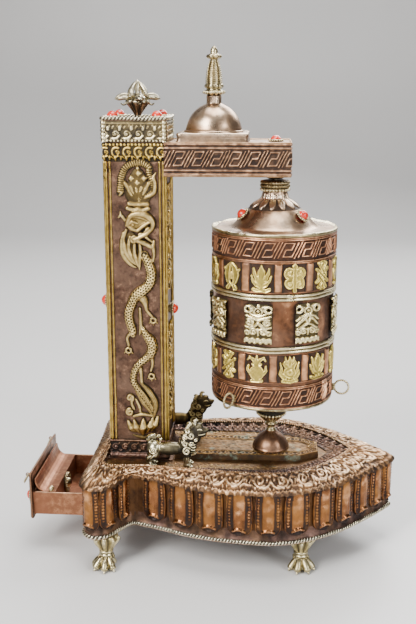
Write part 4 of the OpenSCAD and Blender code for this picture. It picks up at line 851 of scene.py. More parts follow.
def petal_patch(mb, s0, w, seed):
    na, nb = 46, 62
    a = np.linspace(-1.08, 1.08, na)[None] * np.ones((nb, 1)); b = np.linspace(-0.03, 1.0, nb)[:, None] * np.ones((1, na))
    zlo, zhi = 30.6 + 0.5 * (hsh(seed, 0, 1) - .5), 60.6
    hw = np.where(b < 0.2, np.sqrt(np.clip(1 - ((0.2 - b) / 0.215) ** 2, 0.0001, 1)) ** 0.9, 1.0) * (1 - 0.06 * (b - 0.3) ** 2) * (0.93 + 0.07 * np.sin(np.clip(b, 0, 1) * pi))
    an = a / hw; inside = sm(1 - np.abs(an), -0.02, 0.07) * sm(b, -0.02, 0.02)
    rib = np.clip(1 - np.abs(an) / 0.44, 0, 1); belly = 0.55 + 0.45 * np.sin(np.clip(b * 0.9 + 0.1, 0, 1) * pi) ** 0.8
    dome_ = np.sqrt(np.clip(1 - (an * 0.93) ** 2, 0, 1)); prof = 0.35 + 2.55 * dome_ * (0.5 + 0.5 * belly) + (sm(rib, 0.0, 0.22) * 0.65 + 0.45 * np.sqrt(np.clip(1 - (an / 0.44) ** 2, 0, 1)) * (rib > 0)) * (0.55 + 0.45 * belly)
    crease = np.exp(-((np.abs(an) - 0.10) / 0.03) ** 2) * (an > 0) * 0.28 * sm(0.62 - b, 0, 0.2)
    # beaded side strips
    zb_ = b * 30; ph = np.mod(zb_ + 0.8 * hsh(seed, 0, 9), 2.15) - 1.07; bx = (np.abs(an) - 0.70) * w / 2
    sz = 0.72 + 0.22 * hsh(np.floor(zb_ / 2.15), 0, seed)
    bead = np.sqrt(np.clip(1 - (ph ** 2 + (bx + 0.35 * (hsh(np.floor(zb_ / 2.15), 0, seed + 2) - .5)) ** 2) / sz ** 2, 0, 1)) * sm(b, 0.2, 0.24) * sm(0.93 - b, 0, 0.03)
    edge = ridge(np.abs(an), 0.93, 0.07) * 0.55 * sm(b, 0.0, 0.05)
    # curled lip
    lipc = 0.165 - 0.22 * an ** 2; lip = ridge(b, lipc, 0.036) * sm(0.60 - np.abs(an), 0, 0.06) * 1.3; under = sm(lipc - 0.03 - b, 0, 0.02) * sm(0.66 - np.abs(an), 0, 0.06)
    h = prof * inside + 0.6 * bead + edge - crease + lip - 1.3 * under * inside * sm(b, 0.0, 0.1) - 1.6 * (1 - inside)
    nz = vnoise(a * 3 + seed, b * 9, seed) - .5; h = h + 0.25 * nz * inside
    # painted light: the smooth faces brighten towards the upper middle (painted highlight) and darken towards their
    # sides (painted shade)
    smooth_c = 0.52 + 0.28 * nz + 0.10 * (rib > 0) + 0.14 * sm(b, 0.35, 0.75) - 0.22 * np.abs(an)
    strip = (rib <= 0.02) & (np.abs(an) < 0.9)
    c = np.where(strip, 0.20 + 0.55 * bead + 0.25 * nz, smooth_c)
    c = np.where(np.abs(an) >= 0.9, 0.6, c); c = c - 0.45 * np.exp(-((np.abs(an) - 0.47) / 0.045) ** 2)
    # painted shade: darker below the curled lip and at the petal tops where they run under the rim
    c = c - 0.55 * under - 0.35 * sm(b, 0.86, 1.0) - 0.8 * (1 - inside); c = np.maximum(c, 0.92 * sm(lip, 0.5, 1.6))
    tilt = 0.9 * (b - 0.45) ** 2 * 2
    p, n = wall_at(s0 + a * w / 2)
    P = np.concatenate([p + n * (h + tilt)[..., None], (zlo + (zhi - zlo) * b)[..., None]], -1)
    mb.grid(P, np.clip(c, 0.0, 1), flip=SGN > 0)


# places read along the wall: three on the corner lobe, then eleven to the tip
PS = [65.9, 78.5, 93.6, 119.4, 139.9, 160.2, 180.1, 198.8, 218.0, 238.0, 256.0, 274.3, 290.6, 304.2]
PW = [13.2, 13.8, 11.4, 18.4, 19.4, 19.4, 18.8, 18.2, 18.6, 17.6, 17.0, 16.6, 14.6, 11.0]
mb = MB()
for k, s0 in enumerate(PS):
    w_ = PW[k]
    petal_patch(mb, s0, w_, k + 1.0); petal_patch(mb, cw[-1] - s0, w_, k + 31.0)
mb.build("lotus_petals_embossed", ST, M["petal"], "petal_copper", "lotus_petals", recalc=True)

# ---- flared foot of the wall, rope moulding and edge wire, open at the drawer
n_r = 2300; t_, Lw, (wr,) = resample(LW, n_r, LW); nr = SGN * nrm2(wr)
gap = (wr[:, 0] < -110) & (np.abs(wr[:, 1]) < 38.9)
i1 = np.where(~gap)[0]; st_ = i1[np.argmax(np.diff(np.concatenate([[i1[-1] - n_r], i1])))]
order = (np.arange(n_r) + st_) % n_r; order = order[~gap[order]]
q, nq = wr[order], nr[order]
mb = MB()
path = np.concatenate([q + nq * 1.42, np.full((len(q), 1), Z0 + 1.35)], 1); L_ = np.arange(len(q)) * Lw / n_r
kk = (Lw / n_r) * 2 * pi / 2.1
ca = np.clip(0.5 + 0.5 * np.cos(np.add.outer(np.arange(len(q)) * kk, 2 * np.arange(12) * 2 * pi / 12)), 0.0, 1)
mb.tube(path, 1.32, 12, up=(0, 0, 1), a=ca, caps=False, prof=lambda i, t: 1 + 0.2 * np.cos(2 * t + i * kk))
mb.build("rope_moulding_twist", ST, M["white"], "pale_brass", "bottom_rope_moulding", recalc=True)
mb = MB()
mb.tube(np.concatenate([q + nq * 1.9, np.full((len(q), 1), Z0 + 0.25)], 1)[::2], 0.42, 6, a=0.75)
rows = [np.concatenate([q + nq * d, np.full((len(q), 1), z_)], 1)[::2] for d, z_ in ((0.06, Z0 + 9.5), (0.10, Z0 + 6.5), (0.35, Z0 + 4.6), (0.9, Z0 + 3.3), (1.6, Z0 + 2.5))]
G = np.stack(rows); mb.grid(G, 0.22 + 0.3 * vnoise(G[..., 0] / 4, G[..., 1] / 4, 6))
mb.build("wall_foot_flare", ST, M["gallery"], "sheet_copper", recalc=True)

# ---- claw feet: acanthus cup, ring and a four-toed paw
def claw_foot(name, rep, cx_, cy_, face):
    mb = MB(); nL = 8

    def fl(i, th, r, z):
        lobe = np.abs(np.cos(th * nL / 2)); t = sm(z, 13.5, 23.5)
        return (0.9 * (lobe - 0.6) * (0.5 + t)) * (z > 12.6) + 0.5 * t * (lobe - .5), -1.6 * (1 - lobe) * sm(z, 21.5, 24) * (z < 24.3)

    mb.lathe([(5.0, 24.45), (7.2, 24.4), (7.9, 23.4), (7.6, 21.8), (6.7, 19.9), (5.7, 18.0), (4.9, 16.2), (4.4, 14.6), (4.1, 13.4)], 88, c=(cx_, cy_, 0), fn=fl,
             att=lambda r, t, z: np.clip(0.15 + 0.75 * np.abs(np.cos(t * nL / 2)) + 0.2 * (z < 14), 0, 1))
    mb.lathe([(3.6, 13.6), (4.6, 13.3), (4.9, 12.6), (4.5, 11.9), (3.9, 11.6), (4.3, 11.0), (4.9, 10.4), (4.7, 9.8), (4.0, 9.2), (3.6, 8.0), (3.7, 6.0), (4.4, 3.6), (4.8, 1.6), (4.4, 0.15), (0.01, 0.12)], 56, c=(cx_, cy_, 0),
             att=lambda r, t, z: np.clip(0.45 + 0.4 * (np.abs(np.mod(z, 2.4) - 1.2) < .6), 0, 1))
    for k, (da, ln, rr) in enumerate(((-66, 8.2, 2.2), (-24, 9.0, 2.45), (22, 9.2, 2.45), (62, 8.4, 2.2), (150, 5.6, 1.9), (-150, 5.6, 1.9))):
        a = math.radians(face + da); d = np.array([math.cos(a), math.sin(a)])
        pts = np.array([[cx_ + d[0] * f * ln, cy_ + d[1] * f * ln, z] for f, z in ((0.18, 9.4), (0.42, 7.6), (0.66, 5.6), (0.85, 3.9), (0.97, 2.5), (1.02, 1.7))])
        pp = cr(pts, 5, False); u = np.linspace(0, 1, len(pp))
        r_ = rr * (0.72 + 0.36 * np.sin(u * pi * 1.0) + 0.20 * np.exp(-((u - 0.82) / 0.10) ** 2) - 0.28 * sm(u, 0.9, 1.0)); r_ = np.minimum(r_, pp[:, 2] - 0.12)
        mb.tube(pp, r_, 14, a=0.75); tip = pp[-1]
        mb.a[-1] = np.clip(0.35 + 0.5 * np.abs(np.cos(np.repeat(u, 14)[:len(mb.a[-1])] * 9)), 0.1, 1) if len(mb.a[-1]) >= len(pp) * 14 and len(mb.a[-1]) == len(np.repeat(u, 14)) else mb.a[-1]
        cl = np.array([tip, tip + np.array([d[0] * 0.9, d[1] * 0.9, -0.25]), tip + np.array([d[0] * 1.5, d[1] * 1.5, -1.05])]); mb.tube(cr(cl, 4, False), np.linspace(0.95, 0.28, len(cr(cl, 4, False))), 8, a=0.9)
    for k in range(9):
        a = 2 * pi * k / 9; mb.ball((cx_ + 4.6 * math.cos(a), cy_ + 4.6 * math.sin(a), 8.4), (1.2, 1.2, 1.6), 8, 6, a=0.65)
    # leaves curling over the cup
    for k in range(8):
        a = 2 * pi * (k + 0.0) / 8; d = np.array([math.cos(a), math.sin(a)])
        pts = np.array([[cx_ + d[0] * r, cy_ + d[1] * r, z] for r, z in ((4.5, 14.2), (5.6, 16.6), (6.9, 19.0), (8.0, 20.8), (8.4, 22.2), (7.7, 22.9))]); pp = cr(pts, 4, False)
        mb.tube(pp, np.interp(np.linspace(0, 1, len(pp)), [0, 0.4, 0.8, 1], [0.5, 1.2, 1.5, 0.7]), 8, a=0.85)
    mb.build(name, ST, M["cast"], "cast_brass", rep, recalc=True)


for nm, (fx, fy), fc in (("front_left", (-110, -58), -112), ("front_right", (21.5, -50.5), -82), ("rear_left", (-110, 58), 112), ("rear_right", (21.5, 50.5), 82)):
    claw_foot(nm + "_claw_foot", nm + "_foot", fx, fy, fc)
print("base done")

# ================================================================== COLUMN
def face(mb, c, U, V, Nn, x0, x1, y0, y1, nu, nv, hfn):
    X = np.linspace(x0, x1, nu)[None] * np.ones((nv, 1)); Y = np.linspace(y0, y1, nv)[:, None] * np.ones((1, nu))
    h, a = hfn(X, Y); U, V, Nn, c = [np.array(q, float) for q in (U, V, Nn, c)]
    P = c + X[..., None] * U + Y[..., None] * V + h[..., None] * Nn
    mb.grid(P, np.clip(a, 0.01, 1))


SIDES = [((1, 0, 0), (0, -1, 0)), ((0, 1, 0), (1, 0, 0)), ((-1, 0, 0), (0, 1, 0)), ((0, -1, 0), (-1, 0, 0))]


def acc(X, Y, items):
    b_ = np.zeros(X.shape); ins = np.zeros(X.shape)
    for it in items:
        b, W, _, _ = stroke(X, Y, it[0], it[1], it[2] if len(it) > 2 else None); b_ = np.maximum(b_, rnd(b, W) * (it[3] if len(it) > 3 else 1.0)); ins = np.maximum(ins, sm(b, -0.2, 0.25))
    return b_, ins


# ---- cap band: a row of wave spirals with buds, beads below
def cap_h(X, Y):
    p = 7.55; Xw = X + 0.25 * (vnoise(X / 3, Y / 3, 5) - .5); u = np.mod(Xw + 0.3, p) - p / 2
    it = [(spiral(-0.4, 4.9, 2.75, 0.45, -2.2, 1.35, 22), 0.62, 0.62, 1.2), ([(-3.6, 2.2), (-1.6, 2.0), (0.8, 2.3), (2.6, 3.9)], [0.4, 0.9, 1.0, 0.8], None, 1.2),
          ([(-0.4, 4.9), (-0.4, 4.95)], 0.9, 0.9), ([(2.5, 8.0), (2.6, 9.2)], 1.25, 1.1, 0.9), ([(1.0, 9.6), (1.2, 10.4)], 0.6, 0.6), ([(3.7, 9.6), (3.6, 10.4)], 0.6, 0.6), ([(-2.4, 8.6), (-1.4, 9.8)], 0.7, 0.7)]
    b, ins = acc(u, Y, it); b2, i2 = acc(u - p, Y, it[:5]); b3, i3 = acc(u + p, Y, it[:5]); b = np.maximum.reduce([b, b2, b3])
    bd = np.mod(X, 2.3) - 1.15; bead = np.sqrt(np.clip(1 - (bd ** 2 + (Y - 0.7) ** 2) / 0.95, 0, 1)) * 0.9
    corner = sm(np.abs(X) - 17.9, 0, 0.5); cb = ridge(np.abs(X), 19.6, 1.5) * (0.75 + 0.25 * np.cos(Y * 2.6))
    h = 0.1 + np.maximum(b * 0.95 * (1 - corner), bead * (1 - corner)); h = np.maximum(h, 0.2 + 1.1 * corner * cb); h = np.maximum(h, 0.7 * ridge(Y, 11.7, 0.7))
    h = h + 0.14 * (vnoise(X / 1.1, Y / 1.1, 9) - .5)
    return h, 0.06 + 0.85 * np.clip(h, 0, 1.1) + 0.2 * (vnoise(X / 2, Y / 2, 2) - .5)


def colr_h(X, Y):
    p = 7.35; Xw = X + 0.25 * (vnoise(X / 3, Y / 3, 15) - .5); u = np.mod(Xw + 1.0, p) - p / 2
    it = [(arc(0.4, 6.3, 2.9, 62, 300, 16), [0.5, 0.8, 1.0, 1.0, 0.9] and 0.85, 0.7, 1.2), (spiral(0.9, 6.2, 1.5, 0.3, -1.4, 1.0, 14), 0.55, 0.6, 1.2),
          ([(-0.4, 2.9), (-0.1, 1.0)], 1.1, 0.6), ([(3.3, 3.2), (3.4, 1.6)], 0.95, 0.7, 1.0), ([(-2.9, 3.4), (-1.6, 2.2)], 0.7, 0.5)]
    b, ins = acc(u, Y, it); b2, i2 = acc(u - p, Y, it); b3, i3 = acc(u + p, Y, it); b = np.maximum.reduce([b, b2, b3]); ins = np.maximum.reduce([ins, i2, i3])
    bd = np.mod(X, 2.4) - 1.2; bead = np.sqrt(np.clip(1 - (bd ** 2 + (Y - 11.0) ** 2) / 1.05, 0, 1)) * 0.9
    lower = sm(Y, 3.4, 4.4)
    h = -0.9 + 1.0 * np.maximum(lower, ins) + np.maximum(b * 0.95, bead); h = np.maximum(h, np.where(Y > 11.4, 0.5, h)) + 0.14 * (vnoise(X / 1.1, Y / 1.1, 19) - .5)
    return h, 0.04 + 0.3 * lower * 0.4 + 0.85 * np.clip(np.maximum(b, bead), 0, 1.1) + 0.2 * (vnoise(X / 2, Y / 2, 2) - .5)


mb = MB()
for (U, Nn) in SIDES:
    face(mb, np.array([CX, 0, ZA1 + 0.7]) + np.array(Nn) * (HW + 1.35), U, (0, 0, 1), Nn, -(HW + 1.5), HW + 1.5, 0, 13.3, 150, 56, cap_h)
mb.build("cap_band_scrolls", ST, M["pale"], "pale_brass", "column_cap_band")
mb = MB()
for i, (U, Nn) in enumerate(SIDES):
    if i == 1:
        for s in (-1, 1): pass
    face(mb, np.array([CX, 0, ZA1 - 12.2]) + np.array(Nn) * (HW + 0.95), U, (0, 0, 1), Nn, -(HW + 1.05), HW + 1.05, 0, 12.25, 150, 52, colr_h)
mb.build("collar_band_scrolls", ST, M["brass"], "yellow_brass", "column_collar_band")


# ---- foot band: dark rosettes over a moulding
def foot_h(X, Y):
    p = 6.6; u = np.mod(X + 0.4, p) - p / 2; Yc = Y - 7.7
    it = [(spiral(0, 0, 2.35, 0.5, 0.8, 1.3, 20), 0.6, 0.6, 1.2), ([(0, 0), (0, .05)], 0.9, 0.9, 1.1), ([(2.5, 2.6), (3.3, 3.3)], 0.7, 0.6), ([(-2.6, -2.6), (-3.3, -3.0)], 0.7, 0.6), ([(3.0, -2.4), (3.3, -3.4)], 0.6, 0.5)]
    b, _ = acc(u, Yc, it); b2, _ = acc(u - p, Yc, it); b = np.maximum(b, b2)
    h = 0.3 + b * 1.0 * (Y > 3.6); h = np.maximum(h, 0.3 + 0.9 * ridge(Y, 12.5, 0.8)); h = np.where(Y < 3.6, 1.0 + 0.5 * ridge(Y, 1.3, 1.3), h)
    return h + 0.3 * (vnoise(X / 1.3, Y / 1.3, 29) - .5), 0.16 + 0.5 * b * (Y > 3.6) + 0.45 * ridge(Y, 12.5, 0.8) + 0.3 * (Y < 3.6) + 0.3 * (vnoise(X / 2, Y / 2, 28) - .5)


mb = MB()
for (U, Nn) in SIDES:
    face(mb, np.array([CX, 0, ZPL]) + np.array(Nn) * (HW + 0.5), U, (0, 0, 1), Nn, -(HW + 1.2), HW + 1.2, 0, 13.3, 130, 50, foot_h)
mb.build("foot_band_rosettes", ST, M["gallery"], "column_copper", "column_foot_band")

# ---- twisted rope round the top, and hammered edge wires
mb = MB(); L_ = HW + 1.5; rr = 1.3; pts = []
for k in range(4):
    a0 = -pi + k * pi / 2; s1 = [(-L_, -L_), (L_, -L_), (L_, L_), (-L_, L_)][k]; s2 = [(-L_, -L_), (L_, -L_), (L_, L_), (-L_, L_)][(k + 1) % 4]
    for t in np.linspace(0, 1, 84, endpoint=False): pts.append((CX + s1[0] + (s2[0] - s1[0]) * t, s1[1] + (s2[1] - s1[1]) * t, ZCT + 1.5 + 0.25 * math.sin(7 * t + k)))
pts = np.array(pts); n_ = len(pts); dl = 4 * 2 * L_ / n_
aa = np.clip(0.55 + 0.42 * np.cos(np.add.outer(np.arange(n_) * dl * 2 * pi / 2.35, 2 * np.arange(12) * 2 * pi / 12)), 0.02, 1)
mb.tube(pts, 1.15, 12, closed=True, a=aa, prof=lambda i, t: 1 + 0.22 * np.cos(2 * t + i * dl * 2 * pi / 2.35))
mb.build("column_rope_twist", ST, M["white"], "pale_brass", "column_rope_edge", recalc=True)
mb = MB(); za, zb_ = ZPL + 13.0, ZA1 - 11.8
z = np.linspace(za, zb_, 150)
for k, (U, Nn) in enumerate(SIDES):
    for s in (-1, 1):
        for off, r_ in ((0.55, 0.92), (3.0, 0.72)):
            w = 0.16 * (vnoise(z / 9, 0 * z, k * 3 + s + off) - .5)
            P = np.array([CX, 0, 0]) + np.outer(s * (HW - off) + w, U) + np.outer(0.45 + (0.35 if off < 1 else 0.1) + 0.3 * w + 0 * z, Nn) + np.outer(z, [0, 0, 1.0]) + np.array(Nn) * HW
            mb.tube(P, r_, 8, up=Nn, a=0.72, prof=lambda i, t: 1 + 0.06 * np.sin(i * 0.9) + 0 * t)
mb.build("column_edge_wire_pairs", ST, M["brass"], "yellow_brass", "column_edge_wires", recalc=True)


# ---- dragon applique
def dragon_h(X, Y):
    X = X + 0.0; H = np.full(X.shape, -0.9); C = np.zeros(X.shape)

    def lay(best, prof, c):
        nonlocal H, C
        m = best > 0; hh = prof; up_ = m & (hh > H); H = np.where(up_, hh, H); C = np.where(up_, c, C)

    def st(pts, w0, w1=None, base=0.6, amp=1.0, c0=0.12, c1=0.72, nsm=0):
        g_, o_ = (1.18, 0.08) if amp >= 0.5 else (1.0, 0.0); w0 = np.asarray(w0) * g_ + o_; w1 = None if w1 is None else w1 * g_ + o_
        w0 = float(w0) if np.ndim(w0) == 0 else w0
        p = cr(np.array(pts, float), 5, False) if nsm == 0 and len(pts) > 2 else np.array(pts, float)
        w = np.interp(np.linspace(0, 1, len(p)), np.linspace(0, 1, len(w0)), w0) if np.ndim(w0) else w0
        b, W, S_, D_ = stroke(X, Y, p, w, w1 if not np.ndim(w0) else None); q = rnd(b, W)
        lay(b, base + amp * q, np.clip(c0 + c1 * np.clip(q / np.maximum(W, .3), 0, 1), 0, 1)); return b, W, S_, D_, q
    # faint shadow plate behind the head and the first loop
    # jewel bundle
    st([(3.0, 172.5), (2.2, 178), (2.0, 190)], [4.0, 9.0, 4.5], base=0.4, amp=0.22, c0=0.12, c1=0.25)
    b, W, S_, D_, q = st([(-9.6, 178.4), (-9.2, 183.5), (-8.4, 189.2), (-5.0, 195.2), (2.7, 198.0), (8.9, 195.6), (9.8, 190.6), (12.4, 184.0), (11.8, 178.6), (7.6, 176.2)], 2.2, 2.0, base=0.9, amp=0.55)
    hat = 0.5 + 0.5 * np.cos(S_ * 2 * pi / 1.45); H = np.where(b > 0.15, H - 0.55 * hat * (b > 0.2), H); C = np.where(b > 0.15, C - 0.55 * hat, C)
    for x_, y_ in ((2.5, 190.9), (-2.2, 187.7), (6.3, 187.8), (1.8, 184.9), (2.1, 194.3)):
        s_ = 2.5 if y_ < 194 else 1.7; d = s_ - (np.abs(X - x_) + np.abs(Y - y_)); lay(d, 1.3 + 0.62 * np.clip(d, 0, 1.5), 0.45 + 0.4 * np.clip(d, 0, 1.5))
    for tip in ((-6.2, 184.5), (-2.6, 182.0), (1.2, 181.0), (4.6, 181.6), (9.2, 184.6)):
        st([(2.2 + tip[0] * 0.12, 172.6), (2.2 * .4 + tip[0] * .5, 177.5), tip], [0.6, 1.15, 1.25], base=1.0, amp=0.9)
    st([(6.7, 175.2), (12.2, 178.2), (13.3, 184.1), (12.4, 188.2), (14.1, 191.6)], [0.9, 1.4, 1.3, 0.9, 0.25], base=1.2, amp=0.9)
    st([(-8.8, 178.2), (-10.2, 176.4)], 1.0, 0.5, base=1.0)
    st([(-3.9, 171.2), (2.4, 170.7), (8.2, 171.0)], 1.35, 1.35, base=1.1, amp=0.9); st([(-5.0, 168.3), (-1.2, 167.2), (2.4, 167.5), (5.4, 167.1), (8.8, 168.0)], 1.35, 1.35, base=1.0, amp=0.9)
    # mane strands
    st([(-3.0, 149), (-2.6, 140), (0.6, 133)], [3.6, 4.2, 1.0], base=0.5, amp=0.22, c0=0.12, c1=0.2)
    for i, q_ in enumerate([[(-6.0, 154.0), (-8.2, 147.3), (-6.7, 138.8), (-2.5, 132.7), (1.2, 130.0)], [(-3.7, 149.4), (-4.9, 142.5), (-3.2, 136.0), (0.3, 130.8)], [(-0.8, 145.8), (-1.0, 138.9), (0.2, 134.0), (1.6, 128.9)], [(2.7, 144.9), (3.0, 138.3), (2.5, 133.4), (2.3, 127.4)], [(-8.0, 152), (-9.6, 145.0), (-8.6, 137.0), (-4.2, 131.0), (0, 128.6)]]):
        st(q_, [0.9, 1.35, 1.25, 0.4], base=0.9 + 0.15 * i * (i < 4), amp=0.95)
    # body stretches with pitted scales
    for pts, ws in (([(5.7, 137.3), (8.3, 131.6), (10.0, 126.1), (9.6, 119.9), (6.9, 115.2), (2.6, 111.7), (-0.9, 108.5), (-3.1, 104.5), (-4.9, 99.8), (-5.6, 95.3), (-4.8, 90.3), (-3.2, 84.9), (-2.9, 82.0)], [2.2, 2.7, 3.0, 3.0, 3.1, 3.6, 3.3, 2.9, 2.8, 2.7, 2.6, 2.3, 1.6]),
                    ([(3.5, 88.0), (5.4, 82.8), (8.6, 78.7), (10.1, 74.0), (8.7, 68.8), (4.7, 64.6), (-0.1, 60.1), (-2.9, 54.2), (-3.3, 49.0), (-1.0, 44.4), (2.7, 39.6), (7.0, 33.7), (10.7, 27.0)], [0.6, 2.0, 3.0, 3.2, 3.0, 2.3, 2.1, 1.9, 1.8, 1.9, 2.0, 1.8, 1.0])):
        b, W, S_, D_, q = st(pts, ws, base=0.9, amp=0.85, c0=0.5, c1=0.4)
        row = np.round(D_ / 1.55); uu = np.mod(S_ + 1.05 * np.mod(row, 2), 2.1) - 1.05; dd = np.hypot(uu, D_ - row * 1.55)
        pit_ = sm(0.62 - dd, 0, 0.25) * (b > 0.35); here = (b > 0.0); H = np.where(here, H - 0.75 * pit_, H); C = np.where(here, C * (1 - pit_), C)
        nb = ridge(D_, -W + 0.5, 0.5) * here; C = np.where(here & (pit_ < .1), np.clip(C + 0.2 * nb, 0, 1), C)
    st([(0.8, 110.7), (4.8, 106.6), (5.9, 102.5)], [2.0, 2.6, 1.2], base=0.9, amp=0.8)
    for lg, cl in (([(5.9, 103.5), (7.1, 98.7), (10.4, 94.7)], (10.9, 92.4)), ([(-3.7, 83.6), (-7.0, 80.3), (-6.1, 74.6)], (-6.3, 71.0)), ([(8.9, 68.8), (10.1, 62.3), (8.9, 56.8)], (9.2, 52.8))):
        st(lg, [1.5, 1.0, 0.8], base=0.9, amp=1.0); st(arc(cl[0], cl[1], 1.75, 0, 360, 20), 0.75, 0.75, base=1.0, amp=1.1, nsm=1)
        st([(cl[0] - 2.0, cl[1] - 1.2), (cl[0] - 2.8, cl[1] - 2.0)], 0.7, 0.4, base=0.8); st([(cl[0] + 2.0, cl[1] - 1.2), (cl[0] + 2.8, cl[1] - 2.2)], 0.7, 0.4, base=0.8); st([(cl[0], cl[1] - 2), (cl[0] + .2, cl[1] - 3.4)], 0.7, 0.4, base=0.8)
    # head
    st([(-3.8, 158.0), (0.4, 158.6), (4.6, 158.2)], [3.2, 4.6, 4.2], base=1.2, amp=0.28, c0=0.45, c1=0.2)
    st([(-5.6, 157.3), (-3.4, 162.6), (1.4, 164.6), (7.4, 163.6), (11.2, 160.2), (11.4, 156.0), (8.1, 151.9), (3.3, 149.4), (-0.4, 147.3)], [1.2, 1.6, 1.9, 2.0, 1.7, 1.4, 1.2, 1.2, 1.2], base=1.9, amp=0.9)
    st([(-2.0, 162.2), (3.0, 162.4), (8.2, 160.2)], [0.5, 0.9, 0.5], base=2.4, amp=0.7); st([(-4.0, 157.8), (-1.6, 159.6), (1.6, 158.4)], [0.6, 1.1, 0.6], base=2.5, amp=0.9)
    st([(-1.3, 157.4), (-1.2, 157.4)], 0.85, 0.85, base=2.7, amp=0.9); st([(-4.4, 156.4), (-2.0, 154.8), (0.6, 153.8)], [1.0, 1.4, 1.0], base=2.1, amp=0.8)
    for k in range(4): st([(-4.2 + 1.4 * k, 157.0 - .8 * k), (-3.6 + 1.4 * k, 155.2 - .7 * k)], 0.28, 0.28, base=3.0, amp=0.6)
    st([(1.5, 153.6), (5.2, 156.7), (10.4, 159.8)], [1.0, 1.1, 0.7], base=2.3, amp=0.9); st([(2.7, 151.0), (6.4, 153.3), (8.8, 155.7)], [0.8, 0.9, 0.5], base=2.1, amp=0.8)
    b, W, S_, D_, q = st([(4.6, 153.0), (6.0, 154.4)], 0.9, 0.7, base=3.4, amp=0); H = np.where(b > 0, 0.9, H); C = np.where(b > 0, 0.02, C)
    st([(-11.0, 162.1), (-9.4, 163.5), (-6.5, 160.1)], [0.6, 0.9, 1.1], base=1.0, amp=1.0); st([(-9.9, 165.8), (-9.4, 163.6)], 0.4, 0.7, base=1.0)
    st(spiral(-1.0, 147.4, 2.6, 0.5, 0.5, 1.3, 20), 0.8, 0.8, base=2.0, amp=1.0, nsm=1)
    st([(0.2, 147.1), (6.2, 145.1), (11.0, 142.9), (12.2, 147.0)], [1.3, 1.6, 1.4, 0.5], base=1.6, amp=0.9); st([(11.6, 142.1), (12.1, 137.8), (11.4, 133.2)], [1.3, 1.0, 0.8], base=1.2, amp=0.9)
    st([(6.9, 149.3), (11.5, 145.7)], 0.9, 0.6, base=1.5, amp=0.9)
    for kk in range(3): st([(10.6 - kk * .4, 134.2 - kk), (9.4 - kk * .3, 131.0 - kk)], 0.6, 0.3, base=1.0)
    # ribbons, tail plumes, scroll and lotus
    st([(1.9, 100.5), (2.3, 90.4), (1.6, 82.4)], [0.9, 1.2, 0.6], base=0.7, amp=0.8); st([(1.7, 58.3), (2.4, 47.4)], 1.2, 0.9, base=0.7, amp=0.8)
    for pts, w in (([(1.6, 48.4), (7.2, 42.3), (11.2, 35.5), (11.9, 29.5), (10.2, 22.6)], [0.5, 1.8, 2.0, 1.6, 0.5]), ([(-1.7, 42.1), (3.3, 33.6), (9.1, 25.4)], [0.6, 1.4, 0.5]), ([(0.0, 45.0), (5.2, 37.4), (10.0, 28.4)], [0.6, 1.5, 0.6])):
        b, W, S_, D_, q = st(pts, w, base=1.2, amp=1.0); g = 0.5 + 0.5 * np.cos(D_ * 2 * pi / 1.0); C = np.where((b > 0), C - 0.3 * g * (b > 0.1), C); H = np.where(b > 0, H - 0.22 * g, H)
    st(spiral(-6.0, 36.9, 2.6, 0.6, -1.2, 1.25, 18), 0.95, 0.9, base=0.9, amp=1.1, nsm=1); st(spiral(-6.2, 26.5, 2.7, 0.6, 1.6, 1.25, 18), 0.95, 0.9, base=0.9, amp=1.1, nsm=1); st([(-4.0, 38.2), (-4.8, 33.0), (-3.2, 28.8)], [0.8, 1.0, 0.8], base=0.9, amp=1.0)
    st([(-2.0, 36), (0.6, 30.0), (1.2, 25.4)], [0.5, 1.1, 0.6], base=0.8, amp=0.9); st([(-3.6, 23.4), (2.6, 25.0), (9.0, 24.2)], [0.8, 1.2, 0.8], base=1.0, amp=0.8)
    for pts, w, z_ in (([(-2.4, 12.0), (-5.4, 15.0), (-7.6, 19.8)], [0.6, 2.2, 0.7], 0.9), ([(8.4, 13.0), (11.2, 17.6), (13.2, 23.6)], [0.6, 2.2, 0.6], 0.9), ([(0.6, 11.4), (-2.0, 15.6), (-3.4, 20.6)], [0.6, 2.3, 0.6], 1.2), ([(5.2, 11.6), (7.6, 16.4), (9.6, 22.6)], [0.6, 2.3, 0.6], 1.2), ([(2.7, 10.6), (2.9, 15.6), (3.1, 21.6)], [0.8, 2.9, 0.7], 1.7)): st(pts, w, base=z_, amp=0.85)
    st([(-4.6, 9.4), (3.2, 7.8), (11.4, 10.4)], [0.3, 1.5, 0.3], base=0.5, amp=0.6, c0=0.1, c1=0.3)
    H = H + 0.12 * (vnoise(X / 0.9, Y / 0.9, 51) - .5)
    return np.where(H > 0, H * 1.12, H), C


mb = MB(); face(mb, (CX, -HW - 0.05, ZPL + 7.3), (1, 0, 0), (0, 0, 1), (0, -1, 0), -12.6, 15.2, 5.5, 200.5, 96, 520, dragon_h)
mb.build("dragon_front", ST, M["dragon"], "yellow_brass", "front_dragon_relief")
mb = MB(); face(mb, (CX, HW + 0.05, ZPL + 7.3), (-1, 0, 0), (0, 0, 1), (0, 1, 0), -12.6, 15.2, 5.5, 200.5, 96, 520, dragon_h)
mb.build("dragon_rear", ST, M["dragon"], "yellow_brass", "rear_dragon_relief")


